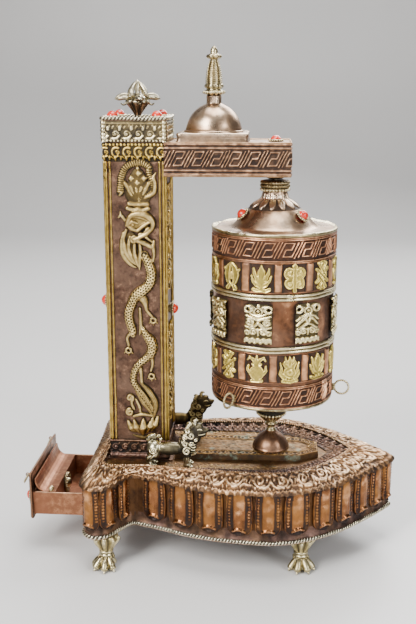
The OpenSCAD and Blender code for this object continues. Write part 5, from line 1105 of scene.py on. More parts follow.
# ---- side reliefs: a climbing vine with dotted leaves
def vine_h(X, Y):
    H = np.full(X.shape, -0.7); C = np.zeros(X.shape); p = 20.0; Yp = np.mod(Y, p); k = np.floor(Y / p); sgn = np.where(np.mod(k, 2) == 0, 1.0, -1.0); x = X * sgn
    it = [([(-3.2, 0), (2.6, 4.5), (4.6, 10), (2.6, 15.5), (-3.2, 20)], 1.0, 1.0, 1.1), (spiral(0.2, 10.2, 3.6, 0.6, 0.2, 1.2, 22), 0.95, 0.8, 1.1), ([(-3.4, 3.0), (-6.4, 7.0), (-7.4, 12)], [0.5, 1.9, 0.4], None, 0.8), ([(5.0, 13.0), (7.6, 16.0), (8.0, 19.6)], [0.5, 1.5, 0.3], None, 0.8), ([(5.2, 5.2), (7.8, 3.0), (8.0, 0.6)], [0.5, 1.4, 0.3], None, 0.8), ([(-3.8, 15.6), (-7.0, 17.0)], 1.2, 0.5, 0.9)]
    b, ins = acc(x, Yp, it)
    H = -0.7 + 1.1 * ins + b; bd = np.mod(Y, 2.2) - 1.1
    for xx in (-8.9, 8.9):
        bead = np.sqrt(np.clip(1 - (bd ** 2 + (X - xx) ** 2) / 0.8, 0, 1)); H = np.maximum(H, np.where(bead > 0, 0.2 + 0.9 * bead, -1)); b = np.maximum(b, bead)
    return H, 0.05 + 0.1 * ins + 0.8 * np.clip(b, 0, 1)


mb = MB()
for sgn, (za, zb2) in ((-1, ((23.3, 93.3), (118, 190))), (1, ((23.3, 93.3), (118, 190)))):
    for a, b in ((23.3, 93.3), (118, 196 if sgn < 0 else 190)):
        face(mb, (CX + sgn * (HW + 0.05), 0, ZPL + a), (0, sgn, 0), (0, 0, 1), (sgn, 0, 0), -10, 10, 0, b - a, 60, 200, vine_h)
mb.build("side_vine_reliefs", ST, M["brass"], "yellow_brass", "column_side_reliefs")

# ================================================================== ARM
XA0, XA1, YA = -72.2, 10.3, 21.45
pth = [(XA0, -YA)] + [(XA1 - 1.2 + 1.2 * math.sin(a), -YA + 1.2 - 1.2 * math.cos(a)) for a in np.linspace(0, pi / 2, 6)] + [(XA1 - 1.2 + 1.2 * math.cos(a), YA - 1.2 + 1.2 * math.sin(a)) for a in np.linspace(0, pi / 2, 6)] + [(XA0, YA)]
pth = np.array(pth); sl = np.concatenate([[0], np.cumsum(np.linalg.norm(np.diff(pth, axis=0), axis=1))]); nA = 760
sA = np.linspace(0, sl[-1], nA); pA = np.stack([np.interp(sA, sl, pth[:, j]) for j in (0, 1)], -1)
tA = np.gradient(pA, axis=0); tA /= np.linalg.norm(tA, axis=1, keepdims=True); nAo = np.stack([tA[:, 1], -tA[:, 0]], -1)
nvA = 62; Zv = np.linspace(-0.2, 20.9, nvA); SS = sA[None] * np.ones((nvA, 1)); VV = Zv[:, None] * np.ones((1, nA))
key = meander(SS - 1.0, VV - 5.2, 12.15, 11.0, 0.72, 0.52, 33.0) * (VV > 5.0) * (VV < 16.4)
lines = np.maximum.reduce([ridge(VV, 0.8, 0.9), ridge(VV, 3.3, 0.7), ridge(VV, 17.6, 0.7), ridge(VV, 20.1, 0.8)])
nz = vnoise(SS / 2, VV / 2, 35) - .5
h = 0.1 + 0.85 * np.maximum(key, lines) + 0.2 * nz; cav = 0.20 + 0.62 * np.maximum(key, lines) + 0.35 * nz
edge = sm(np.minimum(VV + 0.2, 20.9 - VV), 0, 0.5); h = h * edge
P = np.concatenate([pA[None] + nAo[None] * (h - 0.55)[..., None], (ZA0 + VV)[..., None]], 2)
mb = MB(); mb.grid(P, np.clip(cav, 0.03, 1)); mb.build("arm_key_band", ST, M["arm"], "drum_copper", "arm_meander_bands")
mb = MB()
for z_, r_ in ((ZA0 - 0.15, 0.75), (ZA1 + 0.1, 0.7)):
    q_ = np.concatenate([pA[::4] - nAo[::4] * 0.55, np.full((len(pA[::4]), 1), z_)], 1); q_[:, 2] += 0.22 * (vnoise(sA[::4] / 9, 0 * sA[::4], 3) - .5)
    mb.tube(q_, r_, 8, a=0.7)
X = np.linspace(XA0, XA1 - 0.7, 120)[None] * np.ones((60, 1)); Y = np.linspace(-YA + 0.8, YA - 0.8, 60)[:, None] * np.ones((1, 120))
mb.grid(np.stack([X, Y, ZA1 + 0.12 + 0.35 * (vnoise(X / 8, Y / 8, 4) - .5)], -1), 0.55 + 0.3 * vnoise(X / 6, Y / 6, 8))
mb.build("arm_top_sheet", ST, M["rim"], "rim_copper", recalc=False)

# ---- corals on the frame
mg, mc = MB(), MB()
for x, y in ((-1, -1), (1, -1), (-1, 1), (1, 1)): setting(mg, mc, (CX + x * 14.6, y * 14.6, ZCT + 1.7), (0, 0, 1), 3.8, hgt=4.0)
for sx_, zz_ in ((-1, 174.4), (1, 169.4)):
    setting(mg, mc, (CX + sx_ * (HW + 3.0), -6.0, zz_), (sx_, 0, 0), 4.0, hgt=3.8)
    mc.lathe([(3.0, -0.4), (2.6, 0.8), (2.9, 1.6), (3.9, 2.4), (4.6, 3.2), (0.01, 3.3)], 28, a=0.6, c=(0, 0, 0)) if False else None
    for k_ in range(6): mc.ball((CX + sx_ * (HW + 0.3 + 0.5 * k_), -6.0, zz_), (0.7, 2.7 + 0.32 * k_, 2.7 + 0.32 * k_), 20, 8, a=0.45 + 0.08 * k_)
setting(mg, mc, (0, 0, ZA1 + 0.45), (0, 0, 1), 3.8, hgt=3.2)
mg.build("frame_coral_stones", ST, M["coral"], "coral", "frame_corals", recalc=True)
mc.build("frame_coral_settings", ST, M["pale"], "pale_brass", "coral_bezels", recalc=True)

# ---- crossed thunderbolt finial
mb = MB(); zf = ZCT + 1.25; c0 = (CX, 0, zf)
mb.lathe([(2.2, -0.1), (2.6, 0.2), (2.2, 1.0), (2.4, 2.2), (3.6, 4.2), (5.2, 6.4), (6.8, 8.4), (7.9, 9.9), (8.1, 10.7), (7.0, 11.4), (5.6, 11.7), (4.6, 12.6), (4.4, 13.8), (3.2, 14.6), (2.0, 15.2)], 120, c=c0,
         fn=lambda i, t, r, z: (0.75 * (np.abs(np.cos(4 * t)) - 0.65) * sm(z, 2, 6) * sm(11.2 - z, 0, 1), 0 * r), att=lambda r, t, z: np.clip(0.15 + 0.7 * np.abs(np.cos(4 * t)) * (z < zf + 11) + 0.5 * (z > zf + 10.4), 0, 1))
for k in range(4):
    a = math.radians(17 + 90 * k); d = np.array([math.cos(a), math.sin(a), 0]); sd = np.array([-d[1], d[0], 0]); O = np.array(c0)
    for s in (-1, 0, 1):
        p = [(4.0, 0, 12.2), (6.6, 1.7 * s, 12.9 + 1.0 * (s == 0)), (9.6, 2.2 * s, 12.9 + 1.5 * (s == 0)), (12.4, 1.3 * s, 12.4 + 1.0 * (s == 0)), (15.0, 0, 12.0)]
        P = cr(np.array([O + d * r + sd * w + np.array([0, 0, z]) for r, w, z in p]), 6, False); u = np.linspace(0, 1, len(P)); mb.tube(P, 1.35 - 0.25 * (s != 0) + 0.35 * np.sin(u * pi) - 0.85 * sm(u, 0.75, 1), 10, a=0.72)
    P = cr(np.array([O + d * r + np.array([0, 0, z]) for r, z in ((6.8, 11.2), (7.8, 9.2), (9.6, 8.4), (11.2, 9.4))]), 5, False); mb.tube(P, np.linspace(1.1, 0.4, len(P)), 8, a=0.6)
    a2 = a + pi / 4; d2 = np.array([math.cos(a2), math.sin(a2), 0])
    P = cr(np.array([O + d2 * r + np.array([0, 0, z]) for r, z in ((3.6, 12.8), (6.4, 14.6), (6.0, 17.6), (3.6, 20.6), (1.0, 23.2))]), 6, False); u = np.linspace(0, 1, len(P)); mb.tube(P, 1.0 + 0.35 * np.sin(u * pi) - 0.6 * sm(u, 0.8, 1), 10, a=0.78)
    mb.ball(O + d2 * 8.2 + np.array([0, 0, 10.4]), (1.4, 1.4, 1.1), 10, 7, a=0.75)
mb.lathe([(0.9, 14), (1.9, 15.2), (1.3, 16.4), (2.1, 18.4), (2.2, 20.2), (1.7, 22.0), (1.0, 23.6), (0.02, 24.4)], 32, c=c0, a=0.85)
mb.build("crossed_thunderbolt", ST, M["white"], "pale_brass", "vajra_finial", recalc=True)

# ================================================================== STUPA
SCX = -41.0; mb = MB()


def rrect(hx, hy, r, n=9):
    out = []
    for cx_, cy_, a0 in ((hx - r, hy - r, 0), (-hx + r, hy - r, pi / 2), (-hx + r, -hy + r, pi), (hx - r, -hy + r, 3 * pi / 2)):
        for t in np.linspace(0, pi / 2, n): out.append((cx_ + r * math.cos(a0 + t), cy_ + r * math.sin(a0 + t)))
        # straight side
    P = np.array(out); seg = []
    for i in range(len(P)):
        a, b = P[i], P[(i + 1) % len(P)]; m = max(1, int(np.linalg.norm(b - a) / 1.2)); seg.append(a + (b - a) * np.linspace(0, 1, m, endpoint=False)[:, None])
    return np.concatenate(seg)


base_o = rrect(1.0, 1.0, 0.0001, 2)
R0 = rrect(23, 20, 2.6); lv = [(0.6, 0.02), (0.6, 1.0), (0.0, 1.5), (0.0, 4.0), (0.25, 4.5), (0.25, 5.6), (-0.2, 6.15), (-1.2, 6.35), (-4.0, 6.4), (-9.5, 6.45)]
rows = []
for o, z_ in lv:
    q_ = rrect(23 + o, 20 + o, max(2.6 + o, 0.8)) if False else R0 * np.array([(23 + o) / 23, (20 + o) / 20])
    rows.append(np.concatenate([q_ + [SCX, 0], np.full((len(q_), 1), ZA1 + z_) + 0.12 * (vnoise(q_[:, :1] / 6, q_[:, 1:] / 6, z_) - .5)], 1))
mb.grid(np.stack(rows), np.array([0.3, 0.5, 0.45, 0.5, 0.6, 0.75, 0.85, 0.8, 0.6, 0.5])[:, None] * np.ones(len(R0)), cu=True)
mb.lathe([(19.8, ZA1 + 6.3), (19.8, ZA1 + 7.0), (19.3, ZA1 + 7.5), (18.2, ZA1 + 7.6)], 120, c=(SCX, 0, 0), a=0.6)
mb.build("stupa_plinth_sheet", ST, M["dome"], "rim_copper", "stupa_base", recalc=True)
mb = MB(); pr = [(18.6, 7.45), (18.5, 8.6), (18.0, 10.2), (17.4, 12.2), (16.3, 14.8), (14.7, 17.4), (12.6, 19.8), (10.2, 21.8), (8.0, 23.1), (6.3, 23.9), (5.3, 24.4), (5.0, 25.2), (5.0, 28.8), (5.2, 29.4)]
mb.lathe([(r, ZA1 + z) for r, z in cr(np.array(pr), 5, False)], 140, c=(SCX, 0, 0), fn=lambda i, t, r, z: (0.22 * (vnoise(t * 3.2, z / 6, 7) - .5), 0 * r), att=lambda r, t, z: 0.62 + 0.32 * (vnoise(t * 3, z / 7, 3) - .3) - 0.25 * sm(ZA1 + 12 - z, 0, 4))
mb.build("stupa_dome_raised", ST, M["dome"], "rim_copper", "stupa_dome")
mb = MB(); zs = ZA1 + 29.45; pr = [(4.9, -0.2), (5.2, 0.5), (6.6, 0.9), (7.3, 1.8), (7.3, 2.6), (6.5, 3.4), (5.3, 3.8), (5.2, 4.4), (6.2, 5.2), (6.7, 6.2), (6.3, 7.0), (6.0, 7.6)]
for k in range(11):
    r_ = 6.2 - 2.7 * (k / 10.0) ** 2.1; z_ = 7.9 + k * 1.28; pr += [(r_ - 0.75, z_), (r_, z_ + 0.4), (r_, z_ + 0.75), (r_ - 0.75, z_ + 1.15)]
pr += [(2.6, 22.2), (2.8, 23.0), (4.2, 23.6), (5.0, 24.4), (5.1, 25.2), (4.2, 26.0), (3.0, 26.3), (2.5, 26.8), (2.7, 28.0), (2.3, 29.4), (1.4, 30.6), (0.6, 31.3), (0.02, 31.5)]
mb.lathe([(r * 0.93, z) for r, z in pr], 96, c=(SCX, 0, zs), fn=lambda i, t, r, z: ((0.5 * (np.abs(np.cos(5 * t)) - .5)) * ((z > 4.4) & (z < 7.4)) + 0.7 * (np.abs(np.cos(3 * t)) - .4) * ((z > 23.2) & (z < 26.1)), 0 * r),
         att=lambda r, t, z: np.clip(0.42 + 0.5 * (np.mod(z - zs - 7.9, 1.28) < 0.9) * ((z - zs) > 7.6) * ((z - zs) < 22) + 0.4 * ((z - zs < 7.6) | (z - zs > 22)) * np.abs(np.cos(5 * t)), 0.1, 1))
for k in range(20):
    a = 2 * pi * k / 20; mb.ball((SCX + 6.7 * math.cos(a), 6.7 * math.sin(a), zs + 2.2), 1.0, 7, 5, a=0.85)
for k in range(4):
    a = pi / 4 + pi / 2 * k
    P = np.array([[SCX + (r * 0.93 + 0.35) * math.cos(a), (r * 0.93 + 0.35) * math.sin(a), zs + z] for r, z in ((6.0, 7.4), (6.2, 9), (6.0, 12.5), (5.5, 16), (4.4, 20), (3.4, 22.4))]); mb.tube(cr(P, 5, False), 0.2, 8, a=0.85, prof=lambda i, t: 1 + 0.25 * np.cos(i * 2.1) + 0 * t)
mb.build("stupa_ringed_spire", ST, M["pale"], "pale_brass", "stupa_spire", recalc=True)

# ================================================================== BEARING
mb = MB(); pr = [(13.1, 0.02), (13.0, 0.7), (12.6, 1.6), (11.9, 3.6), (10.8, 5.6), (9.2, 7.6), (7.4, 9.2), (5.6, 10.5), (4.1, 11.4), (3.4, 12.0), (3.2, 12.3)]
mb.lathe([(r, ZP + z) for r, z in cr(np.array(pr), 4, False)], 110, fn=lambda i, t, r, z: (0.2 * (vnoise(t * 4, z / 3, 3) - .5), 0 * r), att=lambda r, t, z: np.clip(0.5 + 0.3 * (vnoise(t * 5, z / 4, 6) - .4) + 0.2 * (z < ZP + 1.2), 0, 1))
mb.build("bearing_dome_raised", ST, M["arm"], "deck_copper", "bearing_dome", recalc=True)
mb = MB(); z0_ = ZP + 12.2
pr = [(3.1, 0), (3.9, 0.4), (3.2, 0.9), (2.7, 1.6), (2.6, 3.6), (3.1, 4.3), (4.1, 4.7), (4.5, 5.3), (4.0, 5.9), (3.4, 6.4), (4.6, 7.6), (6.4, 9.0), (8.2, 10.5), (9.3, 11.7), (9.7, 12.5), (10.1, 12.9), (9.6, 13.4), (9.2, 13.9), (9.3, 15.6), (10.0, 16.2), (9.6, 16.5), (6.9, 16.5), (6.6, 15.2)]
# painted shadow: the cup above its bead row is coloured near-black as the shade beneath the drum
mb.lathe([(r, z0_ + z) for r, z in pr], 132, fn=lambda i, t, r, z: (0.55 * (np.abs(np.cos(11 * t)) - 0.6) * ((z > z0_ + 6.6) & (z < z0_ + 12.2)), 0 * r),
         att=lambda r, t, z: np.where(z > z0_ + 13.45, 0.02, np.clip(0.12 + 0.85 * np.abs(np.cos(11 * t)) * (z > z0_ + 6.6) + 0.6 * (z < z0_ + 6.6), 0, 1)))
for k in range(26):
    a = 2 * pi * k / 26; mb.ball((9.95 * math.cos(a), 9.95 * math.sin(a), z0_ + 13.0), 0.95, 7, 5, a=0.95)
mb.build("gadrooned_cup", ST, M["pale"], "pale_brass", "spindle_cup", recalc=True)
print("column, arm, stupa done")

# ================================================================== LIONS
def fuse(mb, voxel, name):
    """melt overlapping masses into one skin"""
    V = np.concatenate(mb.v); q = np.concatenate(mb.q) if mb.q else np.zeros((0, 4), int); t = np.concatenate(mb.t) if mb.t else np.zeros((0, 3), int)
    me = bpy.data.meshes.new(name + "_tmp"); me.from_pydata(V.tolist(), [], q.tolist() + t.tolist()); me.update()
    ob = bpy.data.objects.new(name + "_tmp", me); scene.collection.objects.link(ob)
    md = ob.modifiers.new("r", "REMESH"); md.mode = "VOXEL"; md.voxel_size = voxel; md.adaptivity = 0.0
    sm_ = ob.modifiers.new("s", "SMOOTH"); sm_.factor = 0.6; sm_.iterations = 3
    dg = bpy.context.evaluated_depsgraph_get(); ev = ob.evaluated_get(dg).to_mesh()
    n = len(ev.vertices); co = np.zeros(n * 3); ev.vertices.foreach_get("co", co); co = co.reshape(-1, 3)
    no = np.zeros(n * 3); ev.vertices.foreach_get("normal", no); no = no.reshape(-1, 3)
    Q, T = [], []
    for p in ev.polygons:
        vs = list(p.vertices)
        (Q if len(vs) == 4 else T).append(vs) if len(vs) in (3, 4) else T.extend([[vs[0], vs[i], vs[i + 1]] for i in range(1, len(vs) - 1)])
    ob.evaluated_get(dg).to_mesh_clear(); bpy.data.objects.remove(ob); bpy.data.meshes.remove(me)
    return co, no, np.array(Q, int).reshape(-1, 4), np.array(T, int).reshape(-1, 3)


def lion(name, rep, sy, mat):
    b = MB(); B = lambda c, r, rot=None: b.ball(c, r, 20, 14, rot=rot)
    ry = lambda a: np.array([[math.cos(a), 0, math.sin(a)], [0, 1, 0], [-math.sin(a), 0, math.cos(a)]])
    B((-14.5, 0, 12.2), (12.5, 4.3, 4.5)); B((-15, 0, 11.6), (8, 4.0, 4.4)); B((-25.2, 0, 12.8), (5.6, 4.9, 5.2)); B((-2.2, 0, 14.6), (6.2, 5.0, 7.0)); B((0.6, 0, 21.6), (6.4, 5.2, 6.6), ry(0.5))
    B((3.6, 0, 25.6), (5.4, 4.6, 4.8)); B((8.4, 0, 25.9), (3.4, 3.0, 2.3), ry(0.12)); B((7.6, 0, 22.6), (3.0, 2.4, 1.5), ry(-0.15)); B((11.0, 0, 26.6), (1.5, 1.7, 1.3)); B((5.6, 0, 29.4), (2.6, 3.2, 1.6))
    for s in (-1, 1):
        b.tube(cr(np.array([(-2.4, s * 3.0, 13), (-2.0, s * 3.5, 8.6), (-3.2, s * 3.3, 4.8), (-3.3, s * 3.3, 1.6)]), 5, False), [2.9] * 3 + [2.5] * 4 + [2.1] * 4 + [1.8] * 5, 14)
        B((-2.2, s * 3.3, 1.35), (2.9, 2.1, 1.35))
        b.tube(cr(np.array([(-25.5, s * 3.0, 12.5), (-24.4, s * 3.7, 8.6), (-29.4, s * 3.6, 5.6), (-28.3, s * 3.4, 1.6)]), 5, False), [3.6] * 3 + [3.0] * 4 + [2.1] * 4 + [1.7] * 5, 14)
        B((-27.0, s * 3.4, 1.3), (2.9, 2.0, 1.3)); B((-25.4, s * 2.9, 11.4), (4.6, 2.6, 5.0))
        B((1.0, s * 3.6, 28.6), (1.4, 0.9, 1.7)); B((6.6, s * 2.7, 28.0), (1.3, 1.0, 1.0))
    b.tube(cr(np.array([(-28.4, 0, 15.0), (-29.6, 0, 18.6), (-27.2, 0, 20.6), (-23.6, 0, 19.8)]), 6, False), [1.5] * 5 + [1.9] * 7 + [2.2] * 7, 12)
    co, no, Q, T = fuse(b, 0.55, name)
    # painted light: the colour darkens on downward-facing skin and lightens on upward-facing skin
    zc = np.clip(0.62 + 0.25 * (vnoise(co[:, 0] / 3, co[:, 2] / 3, 5) - .4) - 0.45 * sm(-no[:, 2], 0.2, 0.9) + 0.2 * no[:, 2], 0.05, 1)
    inside = np.where((co[:, 0] > -9) & (co[:, 2] > 8), 0.42, 0.0); zc = np.clip(zc - inside, 0.05, 1)
    zc = np.where((co[:, 0] < -9) & (co[:, 0] > -21) & (co[:, 2] > 6), zc * 0.62, zc)
    out = MB(); O = np.array([-54.5, sy, ZD + 0.05])
    out.add(co + O, Q, T, a=zc)
    # surface finder for laying curls on the body
    cx2, cz2, cy2 = co[:, 0], co[:, 2], np.abs(co[:, 1])

    def skin_y(x, z):
        d = np.hypot(cx2 - x, cz2 - z); m = d < 1.3
        return float(cy2[m].max()) if m.any() else 0.5

    def curl(x, z, r, a0, turns, w, s):
        P = spiral(0, 0, r, r * 0.16, a0, turns, 20); pts = [(x + p[0], s * (skin_y(x + p[0], z + p[1]) + 0.05), z + p[1]) for p in P]
        u = np.linspace(0, 1, 20); out.tube(np.array(pts) + O, w * (0.75 + 0.4 * np.sin(u * pi)), 8, a=0.95)

    def lock(pts, w, s):
        P = cr(np.array([(x, s * (skin_y(x, z) + 0.05), z) for x, z in pts]), 5, False); u = np.linspace(0, 1, len(P)); out.tube(P + O, w * (0.35 + 0.75 * np.sin(u * pi)), 8, a=0.95)

    for s in (-1, 1):
        curl(-2.6, 12.4, 2.9, 0.6, 1.5, 0.62, s); curl(-3.6, 17.6, 2.0, 2.2, 1.2, 0.55, s); curl(0.4, 17.2, 1.9, 0.0, 1.2, 0.55, s); curl(-3.4, 22.4, 2.0, 1.2, 1.25, 0.6, s)
        curl(0.4, 23.4, 2.2, 3.6, 1.25, 0.6, s); curl(-1.8, 26.4, 1.9, 1.0, 1.2, 0.55, s); curl(-25.4, 12.8, 2.6, 3.0, 1.3, 0.6, s); curl(3.8, 20.2, 1.4, 0.6, 1.1, 0.45, s)
        for k in range(5): lock([(0.6 - 0.2 * k, 9.8 + 1.9 * k), (2.3 - 0.1 * k, 8.9 + 1.9 * k), (3.5, 9.3 + 2.0 * k)], 0.5, s)
        for k in range(3): lock([(-6.6 + 0.7 * k, 19.0 + 2.6 * k), (-5.2 + 0.6 * k, 17.4 + 2.8 * k), (-4.0, 15.6 + 2.8 * k)], 0.5, s)
        lock([(-2.4, 7.4), (-3.0, 5.2), (-3.0, 3.0)], 0.5, s); lock([(-1.2, 7.6), (-1.9, 5.2), (-2.0, 3.0)], 0.45, s)
        lock([(-24.4, 9.6), (-26.4, 7.4), (-28.6, 5.2)], 0.55, s); lock([(4.6, 27.6), (6.6, 27.9), (8.0, 27.1)], 0.5, s); lock([(5.2, 24.0), (7.6, 23.9), (10.0, 24.4)], 0.45, s)
        out.ball(O + [6.7, s * 3.0, 27.0], (0.8, 0.5, 0.7), 8, 6, a=0.98)
        for k in range(3): out.ball(O + [-0.6 + 1.1 * k * 0 + [0.3, 0.9, 0.3][k], s * (3.3 + [-1.0, 0, 1.0][k]), 0.75], (1.5, 0.75, 0.75), 8, 6, a=0.9); out.ball(O + [-25.2 + [0.1, 0.6, 0.1][k], s * (3.4 + [-1.0, 0, 1.0][k]), 0.75], (1.5, 0.75, 0.72), 8, 6, a=0.9)
    for k, (x, z, r) in enumerate(((-22.6, 20.6, 1.3), (-25.0, 21.0, 1.3), (-27.8, 20.2, 1.4), (-21.0, 18.8, 1.1), (-29.6, 17.4, 1.1))):
        P = spiral(0, 0, r, r * .2, k * 1.3, 1.2, 14); out.tube(np.array([(x + p[0], 0.0 + 1.0 * math.sin(i), z + p[1]) for i, p in enumerate(P)]) * [1, .6, 1] + O, 0.55, 7, a=0.92)
    # topknot, brow and fangs
    out.tube(cr(np.array([(2.6, 0, 29.6), (2.4, 0, 31.8), (3.6, 0, 33.2), (4.9, 0, 32.6)]), 5, False) + O, np.interp(np.linspace(0, 1, 16), [0, .6, 1], [1.6, 1.1, 0.5]), 10, a=0.9)
    for k in range(7):
        a = -1.2 + 0.4 * k; out.ball(O + [-1.2 - 0.5 * abs(k - 3) + 0.6, 4.2 * math.sin(a), 28.2 + 1.9 * math.cos(a)], (1.5, 1.0, 1.1), 9, 6, a=0.85)
    for s in (-1, 1): out.tube(np.array([(9.6, s * 1.4, 24.6), (9.8, s * 1.4, 23.4)]) + O, [0.4, 0.12], 6, a=1.0)
    out.build(name, ST, M[mat], "cast_brass", rep, recalc=True)


# the rear lion is the same casting in a darker copy of the brass: painted shade on the far side
lion("lion_front_cast", "front_lion", -29.3, "lion"); lion("lion_rear_cast", "rear_lion", 29.3, "lion_shaded")
print("lions done")

# ================================================================== DRAWER
DR = "drawer"
# front panel with a raised beaded border, a lobed foot, and two stones
yh = TW + 2.6; zlo, zhi = Z0 - 0.6, ZFT; xf = XO - 1.3


def panel_h(Y, Z):
    z = Z - zlo; ay = np.abs(Y); d = np.minimum(np.minimum(yh - ay, z), (zhi - zlo) - z)
    b = ridge(d, 0.9, 0.8) * 0.7 + ridge(d, 4.6, 0.6) * 0.6
    rowb = np.where(np.minimum(yh - ay, 99) < np.minimum(z, (zhi - zlo) - z), Z, Y); bd = np.mod(rowb, 1.9) - 0.95; bead = np.sqrt(np.clip(1 - (bd ** 2 + (d - 2.75) ** 2) / 0.72, 0, 1))
    it = [(spiral(8.5, 17, 5.2, 0.8, 2.6, 1.4, 26), 0.9, 0.8), ([(0, 8), (3.6, 9.0), (6.2, 12.6)], 0.9, 0.7), (spiral(20.0, 15.5, 4.6, 0.7, 0.2, -1.4, 24), 0.9, 0.8), ([(13.8, 14.6), (15.4, 10.6), (20.4, 8.6)], 0.5, 1.0), ([(0, 14), (0, 24)], 2.0, 0.5), ([(3.0, 23.6), (6.6, 26), (10.6, 24.8)], 0.6, 0.8), ([(15.8, 22.4), (19.6, 25.4), (24.6, 24.0)], 0.6, 0.8)]
    a, ins = acc(ay, z, it); a = a * (d > 5.4)
    h = 0.15 + 0.8 * np.maximum.reduce([b, bead * 0.9, a]) + 0.15 * (vnoise(Y / 1.4, Z / 1.4, 9) - .5)
    return h, 0.22 + 0.6 * np.maximum.reduce([b, bead, a]) + 0.3 * (vnoise(Y / 3, Z / 3, 4) - .5)


mb = MB(); Y = np.linspace(yh, -yh, 240)[None] * np.ones((120, 1)); Z = np.linspace(zlo, zhi, 120)[:, None] * np.ones((1, 240)); h, c = panel_h(Y, Z)
lob = 1.3 * np.abs(np.sin(Y * pi / 9.2)) * sm(zlo + 2.5 - Z, 0, 2.5)
e = sm(np.minimum(np.minimum(yh - np.abs(Y), Z - zlo), zhi - Z), 0, 0.5)
mb.grid(np.stack([xf - h * e - 0.02, Y, Z - lob], -1), np.clip(c, 0.03, 1), flip=False)
per = [(-yh, zlo), (-yh, zhi), (yh, zhi), (yh, zlo)]
P = np.array([(xf + 0.55, -yh, zlo)] + [(xf + 0.55, -yh, z) for z in np.linspace(zlo, zhi, 24)[1:]] + [(xf + 0.55, y, zhi) for y in np.linspace(-yh, yh, 60)[1:]] + [(xf + 0.55, yh, z) for z in np.linspace(zhi, zlo, 24)[1:]])
mb.tube(P, 0.72, 8, a=0.6)
Yb = np.linspace(-yh, yh, 200); zb2 = zlo - 1.3 * np.abs(np.sin(Yb * pi / 9.2)); mb.tube(np.stack([np.full(200, xf + 0.5), Yb, zb2 + 0.2], -1), 0.6, 8, a=0.6)
# back of the panel
Y2 = np.linspace(-yh, yh, 60)[None] * np.ones((24, 1)); Z2 = np.linspace(zlo - 0.6, zhi, 24)[:, None] * np.ones((1, 60))
mb.grid(np.stack([np.full(Y2.shape, XO + 0.02) + 0.12 * (vnoise(Y2 / 8, Z2 / 8, 3) - .5), Y2, Z2], -1), 0.5 + 0.3 * (vnoise(Y2 / 5, Z2 / 5, 6) - .5))
for s in (-1, 1):
    # eyelets: a turned lug with a hole
    th = np.linspace(0, 2 * pi, 25)[:-1]; mb.tube(np.stack([xf - 2.0 + 1.25 * np.cos(th), np.full(24, s * (TW - 0.5)), ZFT - 2 + 1.25 * np.sin(th)], -1), 0.36, 8, closed=True, a=0.7, up=(0, 1, 0))
    mb.lathe([(1.3, 0), (1.2, 0.5), (0.7, 0.8)], 16, a=0.7) if False else None
    mb.ball((xf - 0.4, s * (TW - 0.5), ZFT - 2), (0.9, 1.3, 1.5), 12, 8, a=0.65)
mb.build("drawer_panel_chased", DR, M["arm"], "sheet_copper", "drawer_front", recalc=True)
mg, mc = MB(), MB()
for s in (-1, 1): setting(mg, mc, (xf - 0.7, s * (TW - 3.5), Z0 + 14.5), (-1, 0, 0), 3.6, hgt=2.9)
mg.build("drawer_coral_stones", DR, M["coral"], "coral", recalc=True); mc.build("drawer_coral_settings", DR, M["pale"], "pale_brass", recalc=True)
# pull rings with a rope texture
for s, nm in ((-1, "front_pull_ring"), (1, "rear_pull_ring")):
    mb = MB(); th = np.linspace(0, 2 * pi, 97)[:-1]; ln = math.radians(24); c0 = np.array([XO - 1.32 - 2, s * (TW - 0.5), ZFT - 2])
    dz = np.array([-math.sin(ln), 0, -math.cos(ln)]); dy = np.array([0, 1.0, 0]); P = c0 + dz * 3.0 + 3.0 * (dz[None] * -np.cos(th)[:, None] + dy[None] * np.sin(th)[:, None])
    mb.tube(P, 0.55, 10, closed=True, a=0.75, up=tuple(np.cross(dz, dy)), prof=lambda i, t: 1 + 0.13 * np.cos(2 * t + i * 2 * pi * 14 / 96))
    mb.build(nm + "_rope", nm, M["pale"], "pale_brass", nm, recalc=True)
# cove: medallion with a beaded ring and a silver ball, and a ball rivet
mb = MB(); cm = np.array([XO + 15.5, 1.0, ZT0 + 8.6]); th = np.linspace(0, 2 * pi, 49)[:-1]
ring = lambda r, hgt: cm + np.stack([np.full(48, hgt), r * np.cos(th), r * np.sin(th)], -1)
mb.grid(np.stack([ring(r, hh_) for r, hh_ in ((7.6, 0), (7.6, 0.9), (7.0, 1.3), (6.2, 1.0), (5.2, 0.9), (4.4, 1.3), (3.8, 1.0))]), np.array([0.2, 0.6, 0.7, 0.2, 0.15, 0.7, 0.1])[:, None] * np.ones(48), cu=True)
for k in range(22): a = 2 * pi * k / 22; mb.ball(cm + [1.2, 6.4 * math.cos(a), 6.4 * math.sin(a)], 0.85, 8, 6, a=0.85)
mb.ball(cm + [0.9, 0, 0], (2.9, 3.5, 3.5), 20, 12, a=0.95)
mb.ball((-152.7, -33.0 + 1.2, 44.0), (2.0, 2.0, 2.2), 16, 10, a=0.9); mb.tube(np.array([(-152.7, -31.8, 40.5), (-152.7, -31.8, 43)]), 1.0, 10, a=0.5)
mb.build("cove_medallion", DR, M["pale"], "pale_brass", recalc=True)
# rolled top edge of the tray walls
mb = MB()
for y in (-TW + 0.5, TW - 0.5): mb.tube(np.array([(x, y, ZT1 + 0.1 + 0.15 * math.sin(x / 7.0)) for x in np.linspace(XO + 0.6, XO + 93.5, 60)]), 0.62, 8, a=0.7)
mb.tube(np.array([(XO + 93.4, y, ZT1 + 0.1) for y in np.linspace(-TW + 0.5, TW - 0.5, 30)]), 0.62, 8, a=0.7)
mb.build("tray_edge_roll", DR, M["arm"], "sheet_copper", recalc=True)
print("drawer done")

# ------------------------------------------------ materials on the carried-over CAD nodes
def cadmat(key, *nodes):
    for n in nodes:
        for o in bpy.data.objects:
            if o.type == "MESH" and (o.name == n or o.name.split(".")[0] == n):
                o.data.materials.clear(); o.data.materials.append(M[key])


